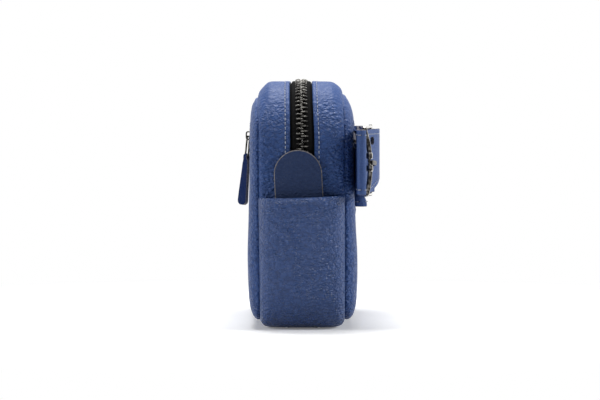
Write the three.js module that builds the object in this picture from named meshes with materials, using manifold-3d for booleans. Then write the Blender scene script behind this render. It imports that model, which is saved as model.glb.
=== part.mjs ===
// Leather belt bag: a boxy zip-top bag with slip pockets on both ends, a zip pocket in front
// and a buckled waist belt folded up behind it. Millimetres, +Z up, +X the end with the buckle,
// -Y the front. The origin is the middle of the base, on the surface the bag stands on.
import * as THREE from "three";
import { mergeVertices } from "three/addons/utils/BufferGeometryUtils.js";
import Module from "manifold-3d";

const wasm = await Module();
wasm.setup();

// ---- Driving dimensions ----
const bodyLength = 212; // over the gusset, without the slip pockets
const bodyHeight = 160;
const gussetWidth = 56; // between the two side seams
const topCorner = 42;
const bottomCorner = 26;
const crownFlat = 42; // width of the gusset that is flat, between its rolled edges
const crownDrop = 6; // how far each gusset edge rolls down to its seam
const hide = 2; // garment leather with its backing
const strapHide = 1.8; // the belt's leather
const skivedHide = 1.2; // the belt's end, thinned to turn round the buckle bar
const cloth = 0.7; // lining and zip tape
const clearance = 0.3; // left between pieces that touch

const frontBulge = 5.6; // how far each panel stands out from its seam
const backBulge = 6.2;
const panelShoulder = 17; // from the seam to where the panel is nearly flat
const frontLean = 1; // how much further the foot of a panel stands out than its head
const backLean = 2.2;

const slotWidth = 15; // main zip opening between the turned leather edges
const tapeReach = 6; // tape held under each leather edge
const mainPitch = 3.25; // tooth to tooth on one side
const mainChain = 8; // width over the closed teeth
const mainProud = 1.6; // how far the teeth stand above the leather
const mainToothHeight = 3.7;
const chainEnd = 1.4; // how far the teeth run down each end below the corner

const frontZipDrop = 35.5; // top of the body to the centre of the front zip
const frontZipLength = 150;
const frontSlotWidth = 11;
const frontTapeReach = 3;
const frontTapePast = 4; // tape past each end of the slot
const frontTeethShort = 3; // teeth short of each end of the slot
const frontSliderPlace = 12; // parked slider, from the slot's near end
const frontPitch = 3.2;
const frontChain = 6;
const frontToothHeight = 2.6;
const pouchDepth = 88; // of the front pocket, below its zip
const pouchRoom = 3;
const pouchSide = 2; // pouch past each end of the slot
const pouchLap = 1; // tape's sewn edge past the pouch
const pouchLip = 4; // pouch's front edge above the tape's sewn edge

const pocketMouth = 83.5; // height of the slip pockets' top edge
const joinDepth = 8; // below the mouth, where the zip strips meet the base strip
const pocketHide = 1.8;
const pocketSlack = 8; // how far the mouth stands away from the gusset
const pocketTurn = 60; // degrees that the pocket goes round the bottom corner
const tabWidth = 31;
const tabDrop = 44; // top of the body to the top of a tab
const tabTuck = 12.5; // held inside the slip pocket
const tabOffset = -1.9; // the tab sits a little to the front
const tabTilt = 3; // degrees

const strapWidth = 41;
const strapDrop = 51.9; // top of the body to the middle of the belt
const strapSag = 9.5; // how far the inner folds hang below the buckled ones
const runNear = 58; // where the inner fold turns, from the middle of the bag
const runFar = 88; // where the belt turns at the other end
const foldNear = 96; // where the buckled fold turns
const loopWidth = 18;
const loopHide = 1.4;
const loopPlace = 40; // belt loops, from the middle of the bag
const loopRoom = 58; // height of a loop's opening
const loopFoot = 9; // sewn end of a loop
const loopEase = 3; // height over which a loop rises from the panel
const holeLength = 8.4;
const holeHeight = 5.2;
const upperRow = 13.1; // upper row of holes above the belt's middle
const lowerRow = -2;
const holeFromBar = 14.5; // the buckled hole, from the pivot bar
const tailPast = 8; // the tail's tip past the pivot bar
const tailSlant = 17; // where its slanting lower corner starts, from the pivot bar
const tailRise = 9;
const sewnLength = 28; // end sewn back under itself, from the pivot bar
const skivedLength = 13; // where the belt is thick again, from the pivot bar
const wrapLength = 8; // where it leaves its turn round the bar
const barLift = 0.8; // pivot bar over the run that is sewn round it
const prongSlotFar = 4.6; // slot for the prong, on each side of the pivot bar
const prongSlotNear = 5;
const prongPlay = 0.6;
const slopeStart = 4; // the tail's straight slope, from the pivot bar
const slopeStop = 2.5; // and short of the front bar
const foldLift = 0.5; // the buckled fold, off the run next to the panel
const foldEase = 0.6;
const farStep = 4; // each turn short of the one round it

const buckleX = 52; // pivot bar
const barRadius = 1.15;
const buckleReach = 36; // pivot bar to front bar
const buckleRoom = 0.7; // from the belt's edge to a rail
const buckleThick = 2.4;
const railWidth = 2.1;
const buckleCorner = 5;
const buckleBevel = 0.4;
const restRadius = 1.9; // the two lugs beside the prong's tip
const restLength = 3;
const prongWidth = 3.4;
const prongThick = 1.9;
const prongEye = 1; // wall round the pivot bar
const prongPast = 2; // its tip past the front bar

const pullTop = 4.6;
const pullBottom = 11;
const pullLength = 31;
const pullHide = 2;
const linkLength = 13;
const linkWire = 1.2;
const sliderShare = 1.55; // a slider's length, of the chain's width
const bridgeWall = 1;
const bridgeShare = 0.5; // of the chain's width, from the bridge's middle to its end
const capThick = 1.2; // the slider's cap
const capGap = 0.5; // and its gap over the teeth
const sliderWall = 1.1;
const sliderFlare = 0.8;
const mainSkirt = 1.7; // depth of the sliders' side walls
const frontSkirt = 1.4;
const bridgeWidth = 2.2;
const linkHead = 2; // half width of the link at its hinge
const linkFoot = 2.4;
const pullRound = 3.4;
const frontPullTwist = 30; // degrees, as the leather hangs
const frontPullTilt = 5;
const mainPullTilt = 2.5;
const mainSliderAngle = 9.5; // degrees above the far end of the corner arc

// ---- Values worked out from them ----
const halfLength = bodyLength / 2;
const frontZipHeight = bodyHeight - frontZipDrop;
const strapHeight = bodyHeight - strapDrop;
const tabTop = bodyHeight - tabDrop;
const tabFoot = pocketMouth - tabTuck;
const buckleHeight = strapWidth + 2 * (buckleRoom + railWidth);
const seam = gussetWidth / 2;
const flatHalf = crownFlat / 2;
const degree = Math.PI / 180;
const panelSeam = seam + clearance;
const leanAt = (lean, z) => lean * (0.5 - z / bodyHeight);
const frontFace = -(panelSeam + frontBulge + leanAt(frontLean, frontZipHeight));
const backFace = panelSeam + backBulge;
const slotHalf = slotWidth / 2;
const arcHeight = bodyHeight - topCorner;

const finish = {
  leather: { color: 0x526798, roughness: 0.55, metalness: 0 },
  tape: { color: 0x1a1a1a, roughness: 0.9, metalness: 0 },
  metal: { color: 0x8a8884, roughness: 0.25, metalness: 1 },
  lining: { color: 0x23262e, roughness: 0.95, metalness: 0 },
};

const root = new THREE.Group();

function place(name, geometry, look, group = root) {
  const mesh = new THREE.Mesh(geometry, new THREE.MeshStandardMaterial(finish[look]));
  mesh.name = name;
  group.add(mesh);
  return mesh;
}

// ---- Solids ----
function solid(geometry) {
  const bare = geometry.clone();
  bare.deleteAttribute("normal");
  bare.deleteAttribute("uv");
  const merged = mergeVertices(bare, 1e-4);
  const make = (triVerts) =>
    new wasm.Manifold(
      new wasm.Mesh({ numProp: 3, vertProperties: merged.attributes.position.array, triVerts }),
    );
  const order = new Uint32Array(merged.index.array);
  const first = make(order);
  if (first.volume() > 0) return first;
  return make(order.reverse());
}

function meshOf(body) {
  const mesh = body.getMesh();
  return new THREE.BufferGeometry()
    .setAttribute("position", new THREE.BufferAttribute(new Float32Array(mesh.vertProperties), 3))
    .setIndex(new THREE.BufferAttribute(new Uint32Array(mesh.triVerts), 1));
}

const join = (first, ...rest) => rest.reduce((sum, next) => sum.add(next), first);
const cut = (first, ...rest) => rest.reduce((sum, next) => sum.subtract(next), first);

function box(x0, x1, y0, y1, z0, z1) {
  const shape = new THREE.BoxGeometry(x1 - x0, y1 - y0, z1 - z0);
  return solid(shape.translate((x0 + x1) / 2, (y0 + y1) / 2, (z0 + z1) / 2));
}

function endFace(flat, offset, first) {
  const turned = THREE.ShapeUtils.isClockWise(flat) !== first;
  return THREE.ShapeUtils.triangulateShape(flat, []).flatMap(([p, q, r]) =>
    turned ? [offset + p, offset + r, offset + q] : [offset + p, offset + q, offset + r],
  );
}

// A closed solid through rings of equally many points. flats holds the first and the last
// ring in two dimensions, for the end faces.
function loft(rings, flats) {
  const count = rings[0].length;
  const end = (rings.length - 1) * count;
  const faces = [...endFace(flats[0], 0, true), ...endFace(flats.at(-1), end, false)];
  for (let a = 0; a < end; a += count) {
    for (let j = 0; j < count; j++) {
      const k = (j + 1) % count;
      const next = a + count;
      faces.push(a + j, a + k, next + k, a + j, next + k, next + j);
    }
  }
  const positions = rings.flat().flatMap((point) => point.toArray());
  const geometry = new THREE.BufferGeometry();
  geometry.setAttribute("position", new THREE.Float32BufferAttribute(positions, 3));
  geometry.setIndex(faces);
  return solid(geometry);
}

// ---- The gusset's path: stations in the XZ plane, each with its outward normal ----
const station = (x, z, angle) => ({ x, z, nx: Math.cos(angle), nz: Math.sin(angle) });

function arcStations(cx, cz, radius, from, to, steps) {
  return Array.from({ length: steps + 1 }, (_, i) => {
    const angle = (from + ((to - from) * i) / steps) * degree;
    return station(cx + radius * Math.cos(angle), cz + radius * Math.sin(angle), angle);
  });
}

// Up one end from a height, over the top and down the other end to the same height.
function overTop(height, steps = 10) {
  const x = halfLength - topCorner;
  return [
    station(halfLength, height, 0),
    ...arcStations(x, arcHeight, topCorner, 0, 90, steps),
    ...arcStations(-x, arcHeight, topCorner, 90, 180, steps),
    station(-halfLength, height, Math.PI),
  ];
}

// Down one end from a height, under the base and up the other end.
function underBase(height, steps = 8) {
  const x = halfLength - bottomCorner;
  return [
    station(halfLength, height, 0),
    ...arcStations(x, bottomCorner, bottomCorner, 0, -90, steps),
    ...arcStations(-x, bottomCorner, bottomCorner, -90, -180, steps),
    station(-halfLength, height, Math.PI),
  ];
}

// Carries a section of [across, outward] points along stations.
function sweep(stations, sectionAt) {
  const sections = stations.map((_, i) => sectionAt(i / (stations.length - 1), stations[i]));
  const rings = stations.map((s, i) =>
    sections[i].map(([y, n]) => new THREE.Vector3(s.x + s.nx * n, y, s.z + s.nz * n)),
  );
  const flats = sections.map((section) => section.map(([y, n]) => new THREE.Vector2(y, n)));
  return loft(rings, flats);
}

function crown(y) {
  const past = Math.max(0, Math.abs(y) - flatHalf) / (seam - flatHalf);
  return -crownDrop * (1 - Math.sqrt(Math.max(0, 1 - past * past)));
}

const rolled = [0.3, 0.6, 0.85, 1].map((share) => flatHalf + share * (seam - flatHalf));

// The leather strip between two places across the gusset, rolled where it reaches a seam.
function gussetSection(from, to) {
  const inside = rolled.concat(rolled.map((y) => -y), [flatHalf, -flatHalf]);
  const across = [from, to, ...inside.filter((y) => y > from && y < to)].sort((a, b) => a - b);
  const outer = across.map((y) => [y, crown(y)]);
  const inner = across.map((y) => {
    const past = Math.max(0, Math.abs(y) - flatHalf) / (seam - flatHalf);
    return [y - Math.sign(y) * past * hide * 0.8, crown(y) - hide];
  });
  return [...outer, ...inner.reverse()];
}

const gussetJoin = pocketMouth - joinDepth; // where the strips meet, inside the pockets

function gusset() {
  const top = overTop(gussetJoin + clearance);
  place("zip_gusset_front", meshOf(sweep(top, () => gussetSection(-seam, -slotHalf))), "leather");
  place("zip_gusset_back", meshOf(sweep(top, () => gussetSection(slotHalf, seam))), "leather");
  const base = sweep(underBase(gussetJoin), () => gussetSection(-seam, seam));
  place("base_gusset", meshOf(base), "leather");
}

// ---- Front and back panels: pillowed sheets inside the two seams ----
function outlineRing(inset, y, drop) {
  const ring = [];
  const corner = (cx, cz, radius, from) => {
    for (const s of arcStations(cx, cz, radius, from, from + 90, 5))
      ring.push(new THREE.Vector3(s.x, y, s.z + drop));
  };
  const high = Math.max(3, topCorner - inset);
  const low = Math.max(3, bottomCorner - inset);
  const x = halfLength - inset;
  corner(x - high, bodyHeight - inset - high, high, 0);
  corner(-x + high, bodyHeight - inset - high, high, 90);
  corner(-x + low, inset + low, low, 180);
  corner(x - low, inset + low, low, 270);
  return ring;
}

function pillow(side, bulge, lean, inward) {
  const shape = [0, 0.3, 0.58, 0.8, 0.93, 1];
  const rings = shape.map((share, i) => {
    const inset = crownDrop - clearance + inward + (panelShoulder * i * i) / 25;
    const out = panelSeam + share * bulge - inward;
    const ring = outlineRing(inset, 0, -share * 3);
    for (const p of ring) {
      p.y = side * (out + share * leanAt(lean, p.z));
    }
    return ring;
  });
  if (inward) rings.unshift(rings[0].map((p) => new THREE.Vector3(p.x, side * (seam - 3 * hide), p.z)));
  const flats = rings.map((ring) => ring.map((p) => new THREE.Vector2(p.x, p.z)));
  return loft(rings, flats);
}

function panel(side, bulge, lean) {
  return cut(pillow(side, bulge, lean, 0), pillow(side, bulge, lean, hide));
}

function panels() {
  const slot = box(
    -frontZipLength / 2,
    frontZipLength / 2,
    frontFace - hide,
    -seam + hide,
    frontZipHeight - frontSlotWidth / 2,
    frontZipHeight + frontSlotWidth / 2,
  );
  place("front_panel", meshOf(cut(panel(-1, frontBulge, frontLean), slot)), "leather");
  place("back_panel", meshOf(panel(1, backBulge, backLean)), "leather");
}

// ---- Lining ----
function linings() {
  const depth = hide + cloth + 2 * clearance;
  const half = flatHalf;
  const sheet = [
    [-half, -depth],
    [half, -depth],
    [half, -depth - cloth],
    [-half, -depth - cloth],
  ];
  const trough = sweep(underBase(arcHeight - 4), () => sheet);
  place("gusset_lining", meshOf(trough), "lining");
}

// ---- Slip pockets: a second layer of leather on each end, slack at its mouth ----
function pocket(side) {
  const x = halfLength - bottomCorner;
  const down = [0, 0.15, 0.35, 0.65].map((share) =>
    station(halfLength, pocketMouth + (bottomCorner - pocketMouth) * share, 0),
  );
  const round = arcStations(x, bottomCorner, bottomCorner, 0, -pocketTurn, 5);
  const across = [11, flatHalf, ...rolled];
  const places = [...across.map((y) => -y), 0, ...across].sort((a, b) => a - b);
  const body = sweep([...down, ...round], (t) => {
    const slack = pocketSlack * (1 - t) ** 1.3;
    const lift = (y) => crown(y) + clearance + slack * (1 - (Math.abs(y) / seam) ** 4);
    const inner = places.map((y) => [y, lift(y)]);
    const outer = places.map((y) => [y, lift(y) + pocketHide]);
    return [...outer, ...inner.reverse()];
  });
  const name = side > 0 ? "near_slip_pocket" : "far_slip_pocket";
  place(name, mirrored(meshOf(body), side), "leather");
}

// ---- End tabs: round-topped leather pieces that cover the ends of the zip ----
function tab(side) {
  const radius = tabWidth / 2;
  const shape = new THREE.Shape();
  shape.moveTo(-radius, tabFoot);
  shape.lineTo(radius, tabFoot);
  shape.lineTo(radius, tabTop - radius);
  shape.absarc(0, tabTop - radius, radius, 0, Math.PI, false);
  const sheet = new THREE.ExtrudeGeometry(shape, {
    depth: hide - clearance,
    bevelEnabled: false,
    curveSegments: 20,
  });
  const middle = (tabTop + tabFoot) / 2;
  sheet.translate(0, -middle, 0);
  sheet.rotateZ(tabTilt * degree);
  sheet.translate(0, middle, 0);
  sheet.rotateX(Math.PI / 2).rotateZ(Math.PI / 2);
  sheet.translate(halfLength + clearance, tabOffset, 0);
  const name = side > 0 ? "near_end_tab" : "far_end_tab";
  place(name, mirrored(meshOf(solid(sheet)), side), "leather");
}

function mirrored(geometry, side) {
  if (side > 0) return geometry;
  return meshOf(solid(geometry.scale(-1, 1, 1)));
}

// ---- Zips ----
const beadInner = 1; // the cord along the tape's edge that the teeth grip
const beadOuter = 2;

// One tooth: a head that crosses the middle and a leg that grips the tape, as a profile across
// the zip, extruded along it. side is the side of the tape it sits on.
function toothProfile(width, height, side) {
  const half = width / 2;
  const cross = 0.9;
  const tapeTop = cloth / 2 + clearance;
  return [
    [-cross, -height * 0.3],
    [-cross, height / 2 - 0.3],
    [half, height / 2 - 0.4],
    [half, tapeTop],
    [beadOuter, tapeTop],
  ].map(([y, n]) => new THREE.Vector2(y * side, n));
}

const toothShare = 0.41; // of the pitch that one tooth fills

// A point on the main zip's path, by distance from its near end, lifted off the leather.
function mainPath(distance, lift) {
  const arc = (topCorner * Math.PI) / 2;
  const top = bodyLength - 2 * topCorner;
  const x = halfLength - topCorner;
  let d = distance - chainEnd;
  let angle = 0;
  let cx = x;
  let extra = [0, Math.min(0, d)];
  if (d > 0) angle = Math.min(d / topCorner, Math.PI / 2);
  d -= arc;
  if (d > 0) cx = x - Math.min(d, top);
  d -= top;
  if (d > 0) angle = Math.PI / 2 + Math.min(d / topCorner, Math.PI / 2);
  d -= arc;
  if (d > 0) extra = [0, -d];
  const nx = Math.cos(angle);
  const nz = Math.sin(angle);
  return {
    point: new THREE.Vector3(
      cx + nx * (topCorner + lift) + extra[0],
      0,
      arcHeight + nz * (topCorner + lift) + extra[1],
    ),
    outward: new THREE.Vector3(nx, 0, nz),
    along: new THREE.Vector3(-nz, 0, nx),
  };
}

const mainMiddle = mainProud - mainToothHeight / 2; // middle of the teeth, off the leather
const mainLength = 2 * chainEnd + Math.PI * topCorner + bodyLength - 2 * topCorner;

function mainTeeth(side) {
  const profile = toothProfile(mainChain, mainToothHeight, side);
  const count = Math.floor(mainLength / mainPitch) - 1;
  const start = mainPitch * (side > 0 ? 0.5 : 1);
  const half = (mainPitch * toothShare) / 2;
  const teeth = Array.from({ length: count }, (_, i) => {
    const at = mainPath(start + i * mainPitch, mainMiddle);
    const ring = (d) =>
      profile.map((p) => {
        const point = at.point.clone().addScaledVector(at.along, d).addScaledVector(at.outward, p.y);
        return point.setY(p.x);
      });
    return loft([ring(-half), ring(half)], [profile, profile]);
  });
  const beadHalf = 0.55;
  const bead = [
    [side * beadInner, mainMiddle - beadHalf],
    [side * beadOuter, mainMiddle - beadHalf],
    [side * beadOuter, mainMiddle + beadHalf],
    [side * beadInner, mainMiddle + beadHalf],
  ];
  const cord = sweep(overTop(arcHeight - chainEnd), () => bead);
  const name = side > 0 ? "main_teeth_back" : "main_teeth_front";
  place(name, meshOf(join(cord, ...teeth)), "metal");
}

function mainTape(side) {
  const under = -hide - clearance;
  const level = mainMiddle + cloth / 2;
  const inner = beadOuter + clearance;
  const outer = slotHalf + tapeReach;
  const bend = slotHalf - 1.5; // where the tape dips under the leather
  const dipped = slotHalf - 0.1;
  const section = [
    [inner, level],
    [bend, level],
    [dipped, under],
    [outer, under],
    [outer, under - cloth],
    [dipped - cloth + 0.1, under - cloth],
    [bend - 0.4, level - cloth],
    [inner, level - cloth],
  ].map(([y, n]) => [y * side, n]);
  const name = side > 0 ? "main_tape_back" : "main_tape_front";
  place(name, meshOf(sweep(overTop(gussetJoin + 2), () => section)), "tape");
}

// The front zip runs straight along X, set into the front panel.
const frontTapeFace = frontFace + hide + clearance + 0.2; // outer face of its tape
const frontMiddle = frontTapeFace + cloth / 2; // middle of its teeth

function frontTeeth(side) {
  const profile = toothProfile(frontChain, frontToothHeight, 1);
  const usable = frontZipLength - 2 * frontTeethShort;
  const count = Math.floor(usable / frontPitch);
  const start = -usable / 2 + (side > 0 ? frontPitch / 2 : 0);
  const half = (frontPitch * toothShare) / 2;
  const ring = (d) =>
    profile.map((p) => new THREE.Vector3(d, frontMiddle - p.y, frontZipHeight + side * p.x));
  const teeth = Array.from({ length: count }, (_, i) => {
    const x = start + i * frontPitch;
    return loft([ring(x - half), ring(x + half)], [profile, profile]);
  });
  const low = frontZipHeight + side * beadInner;
  const high = frontZipHeight + side * beadOuter;
  const cord = box(
    -usable / 2,
    usable / 2,
    frontMiddle - 0.5,
    frontMiddle + 0.5,
    Math.min(low, high),
    Math.max(low, high),
  );
  const name = side > 0 ? "front_teeth_upper" : "front_teeth_lower";
  place(name, meshOf(join(cord, ...teeth)), "metal");
}

function frontTape(side) {
  const near = frontZipHeight + side * (beadOuter + clearance);
  const far = frontZipHeight + side * (frontSlotWidth / 2 + frontTapeReach);
  const half = frontZipLength / 2 + frontTapePast;
  const [low, high] = [Math.min(near, far), Math.max(near, far)];
  const sheet = box(-half, half, frontTapeFace, frontTapeFace + cloth, low, high);
  const name = side > 0 ? "front_tape_upper" : "front_tape_lower";
  place(name, meshOf(sheet), "tape");
}

function pouch() {
  const outer = frontTapeFace + cloth + clearance;
  const inner = outer + pouchRoom + 2 * cloth;
  const half = frontZipLength / 2 + pouchSide;
  const top = frontZipHeight + frontSlotWidth / 2 + frontTapeReach - pouchLap;
  const mouth = frontZipHeight - frontSlotWidth / 2 - frontTapeReach + pouchLap;
  const foot = frontZipHeight - pouchDepth;
  const whole = box(-half, half, outer, inner, foot, top);
  const room = box(-half + cloth, half - cloth, outer + cloth, inner - cloth, foot + cloth, top + 1);
  const open = mouth + pouchLip;
  const front = box(-half - 1, half + 1, outer - 1, outer + cloth + 1, open, top + 1);
  place("front_pocket_pouch", meshOf(cut(whole, room, front)), "lining");
}

// A slider: a flared cap over the teeth with side walls and a bridge for the pull. Local axes:
// x along the zip towards its flared mouth, y across, z outward, the teeth's top at z = 0.
function sliderBody(chain, height) {
  const end = (chain * sliderShare) / 2;
  const half = chain / 2 + capGap;
  const wide = half + sliderFlare + sliderWall;
  const shoulder = end - 1.5; // where the cap is widest
  const shape = new THREE.Shape();
  shape.moveTo(-end, -half);
  shape.quadraticCurveTo(0, -half, shoulder, -wide);
  shape.quadraticCurveTo(end + 1, -half, end, 0);
  shape.quadraticCurveTo(end + 1, half, shoulder, wide);
  shape.quadraticCurveTo(0, half, -end, half);
  const plain = { bevelEnabled: false, curveSegments: 5 };
  const cover = new THREE.ExtrudeGeometry(shape, { ...plain, depth: capThick });
  const top = solid(cover.translate(0, 0, capGap));
  const walls = [-1, 1].map((side) => {
    const inner = side * (half - sliderWall * 0.4);
    const flank = new THREE.Shape();
    flank.moveTo(-end, side * half);
    flank.quadraticCurveTo(0, side * half, shoulder, side * wide);
    flank.lineTo(shoulder - sliderWall, side * (wide - sliderWall));
    flank.quadraticCurveTo(0, inner, -end, inner);
    const skirt = new THREE.ExtrudeGeometry(flank, { ...plain, depth: height });
    return solid(skirt.translate(0, 0, capGap + 0.4 - height));
  });
  return join(top, ...walls);
}

// The bridge is an arch over the slider, with a window for the pull's eye.
function bridge(reach, base) {
  const rise = linkWire + 2 * clearance + bridgeWall;
  const shape = new THREE.Shape();
  shape.moveTo(-reach, base - clearance);
  shape.lineTo(-reach, base + rise * 0.5);
  shape.quadraticCurveTo(-reach, base + rise, -reach * 0.4, base + rise);
  shape.lineTo(reach * 0.4, base + rise);
  shape.quadraticCurveTo(reach, base + rise, reach, base + rise * 0.5);
  shape.lineTo(reach, base - clearance);
  const inner = reach - bridgeWall;
  const window = new THREE.Path();
  window.moveTo(-inner, base - clearance / 3);
  window.lineTo(inner, base - clearance / 3);
  window.lineTo(inner, base + rise - bridgeWall);
  window.lineTo(-inner, base + rise - bridgeWall);
  shape.holes.push(window);
  const arch = new THREE.ExtrudeGeometry(shape, {
    depth: bridgeWidth,
    bevelEnabled: false,
    curveSegments: 4,
  });
  return solid(arch.translate(0, 0, -bridgeWidth / 2).rotateX(Math.PI / 2));
}

// The pull's metal link: a flat ring, narrow where it turns in the bridge. Local: its hinge is
// the origin, and it hangs along -x, flat in the xy plane.
function linkBody(length) {
  const ring = (grow) => {
    const shape = new THREE.Shape();
    const head = linkHead + grow;
    const foot = linkFoot + grow;
    shape.moveTo(grow, -head);
    shape.lineTo(grow, head);
    shape.lineTo(-length + linkHead, foot);
    shape.quadraticCurveTo(-length - grow, foot, -length - grow, 0);
    shape.quadraticCurveTo(-length - grow, -foot, -length + linkHead, -foot);
    return shape;
  };
  const shape = ring(linkWire / 2);
  shape.holes.push(ring(-linkWire / 2));
  const link = new THREE.ExtrudeGeometry(shape, {
    depth: linkWire,
    bevelEnabled: false,
    curveSegments: 6,
  });
  return link.translate(0, 0, -linkWire / 2);
}

// The leather pull: a flared tongue, round at its foot. Local: it hangs along -x from the link.
function pullBody(length, twist) {
  const shape = new THREE.Shape();
  const top = pullTop / 2;
  const foot = pullBottom / 2;
  shape.moveTo(0, -top);
  shape.lineTo(0, top);
  shape.lineTo(-length + pullRound, foot);
  shape.quadraticCurveTo(-length, foot, -length, foot - pullRound);
  shape.lineTo(-length, -foot + pullRound);
  shape.quadraticCurveTo(-length, -foot, -length + pullRound, -foot);
  const sheet = new THREE.ExtrudeGeometry(shape, {
    depth: pullHide,
    bevelEnabled: false,
    curveSegments: 6,
  });
  return sheet.translate(0, 0, -pullHide / 2).rotateX(twist * degree);
}

// A slider with its pull, in a group whose frame is the slider's own. The bridge and the pull
// are turned by swing about the slider's outward axis, and hang is the pull's outward tilt.
function slider(prefix, chain, height, swing, hang, twist) {
  const group = new THREE.Group();
  const top = capGap + capThick;
  const reach = chain * bridgeShare;
  const arch = meshOf(bridge(reach, top)).rotateZ(swing * degree);
  const body = join(sliderBody(chain, height), solid(arch));
  place(prefix + "_slider", meshOf(body), "metal", group);
  const swivel = new THREE.Group();
  swivel.rotation.z = swing * degree;
  group.add(swivel);
  const hinge = new THREE.Group();
  hinge.position.set(-reach + bridgeWall + clearance + linkWire, 0, top + clearance + linkWire / 2);
  hinge.rotation.y = hang * degree;
  swivel.add(hinge);
  place(prefix + "_pull_link", linkBody(linkLength), "metal", hinge);
  const leather = place(prefix + "_pull_leather", pullBody(pullLength, twist), "leather", hinge);
  leather.position.x = -linkLength - linkWire / 2 - clearance;
  return group;
}

function sliders() {
  const main = slider("main", mainChain, mainSkirt, 180, mainPullTilt, 0);
  main.rotation.z = Math.PI;
  const carry = new THREE.Group();
  carry.position.x = topCorner + mainProud;
  carry.rotation.y = Math.PI / 2;
  carry.add(main);
  const turn = new THREE.Group();
  turn.position.set(-(halfLength - topCorner), 0, arcHeight);
  turn.rotation.y = -(180 - mainSliderAngle) * degree;
  turn.add(carry);
  root.add(turn);

  const front = slider("front", frontChain, frontSkirt, 90, frontPullTilt, frontPullTwist);
  const parked = frontZipLength / 2 - frontSliderPlace;
  front.position.set(parked, frontMiddle - frontToothHeight / 2, frontZipHeight);
  front.rotation.x = Math.PI / 2;
  root.add(front);
}

// ---- Belt ----
// The belt is one strap, from the end sewn round the buckle bar to its punched tail. It is laid
// in four runs behind the bag: the buckle's run out to the far turn, back along the panel
// through the two loops, out and back once more, and round the near fold to the buckle.
const runAt = (layer) => beltFace + strapHide / 2 + layer * (strapHide + clearance);
const beltFace = backFace + clearance;
const panelRun = runAt(0);
const secondRun = runAt(1) + loopHide + clearance;
const thirdRun = secondRun + strapHide + clearance;
const barY = thirdRun + strapHide / 2 + clearance + skivedHide + clearance + barRadius;
const wrapRadius = barRadius + clearance + skivedHide / 2;
const buckleRun = barY - barLift;
const tailRun = barY + wrapRadius + (skivedHide + strapHide) / 2 + clearance;
const foldRadius = (strapHide + clearance) / 2 + foldLift;
const foldRun = panelRun + foldLift;
// Between these two distances from the pivot bar the tail slopes straight, over the bar it
// passes under to the one it lies on.
const slopeFar = buckleReach - slopeStop;
const slopeFarRun = foldRun + 2 * foldRadius;
const slopeNearRun = tailRun - foldLift;
const tailSlope = Math.atan2(slopeNearRun - slopeFarRun, slopeStart - slopeFar);

const knot = (x, y, sag = 0, thick = strapHide) => ({ x, y, sag, hide: thick });

function turn(cx, cy, radius, from, to, sag, thick = strapHide, steps = 6) {
  return Array.from({ length: steps + 1 }, (_, i) => {
    const angle = (from + ((to - from) * i) / steps) * degree;
    return knot(cx + radius * Math.cos(angle), cy + radius * Math.sin(angle), sag, thick);
  });
}

function strapRoute() {
  const innerTurn = (secondRun - panelRun) / 2;
  const farTurn = (buckleRun - panelRun) / 2;
  const midTurn = (thirdRun - secondRun) / 2;
  const sewnRun = buckleRun + (strapHide + skivedHide) / 2 + clearance;
  return [
    knot(buckleX - sewnLength, sewnRun, 0, skivedHide),
    knot(buckleX - wrapLength, sewnRun, 0, skivedHide),
    ...turn(buckleX, barY, wrapRadius, 100, -90, 0, skivedHide, 8),
    knot(buckleX - wrapLength, barY - wrapRadius + 0.1, 0, skivedHide),
    knot(buckleX - skivedLength, buckleRun),
    ...turn(-runFar, panelRun + farTurn, farTurn, 90, 270, 0),
    ...turn(runNear, panelRun + innerTurn, innerTurn, -90, 90, strapSag),
    ...turn(-runFar + farStep, secondRun + midTurn, midTurn, 270, 90, 0, strapHide, 4),
    knot(runNear + farStep, thirdRun),
    knot(runNear + farStep + 5, thirdRun - 0.4),
    knot(foldNear - 14, foldRun + foldEase),
    knot(foldNear - 6, foldRun),
    ...turn(foldNear, foldRun + foldRadius, foldRadius, -90, 90, 0),
    knot(buckleX + slopeFar, slopeFarRun),
    knot(buckleX + slopeStart, slopeNearRun),
    knot(buckleX, tailRun),
    knot(buckleX - tailPast, tailRun),
  ];
}

const corners = [
  [1, 1],
  [-1, 1],
  [-1, -1],
  [1, -1],
];
const squareEnd = corners.map(([u, v]) => new THREE.Vector2(u, v));

// A strap laid on edge along a route seen from above.
function ribbon(route, width, middle) {
  const points = route.map((p) => new THREE.Vector2(p.x, p.y));
  const normals = points.map((p, i) => {
    const before = points[Math.max(0, i - 1)];
    const after = points[Math.min(points.length - 1, i + 1)];
    const along = after.clone().sub(before).normalize();
    return new THREE.Vector2(-along.y, along.x);
  });
  const rings = route.map((p, i) =>
    corners.map(([side, up]) => {
      const reach = (side * p.hide) / 2;
      const z = middle - p.sag + (up * width) / 2;
      return new THREE.Vector3(p.x + normals[i].x * reach, p.y + normals[i].y * reach, z);
    }),
  );
  return loft(rings, [squareEnd, squareEnd]);
}

// An oval punched through the tail's slope.
function punch(row) {
  const half = holeHeight / 2;
  const reach = (holeLength - holeHeight) / 2;
  const shape = new THREE.Shape();
  shape.absarc(reach, 0, half, -Math.PI / 2, Math.PI / 2, false);
  shape.absarc(-reach, 0, half, Math.PI / 2, (3 * Math.PI) / 2, false);
  const depth = 2 * strapHide + 1;
  const oval = new THREE.ExtrudeGeometry(shape, { depth, bevelEnabled: false, curveSegments: 5 });
  oval.translate(0, 0, -depth / 2).rotateX(Math.PI / 2);
  oval.rotateZ(tailSlope + Math.PI);
  const y = slopeNearRun + (holeFromBar - slopeStart) * Math.tan(tailSlope);
  return solid(oval.translate(buckleX + holeFromBar, y, strapHeight + row));
}

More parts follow.
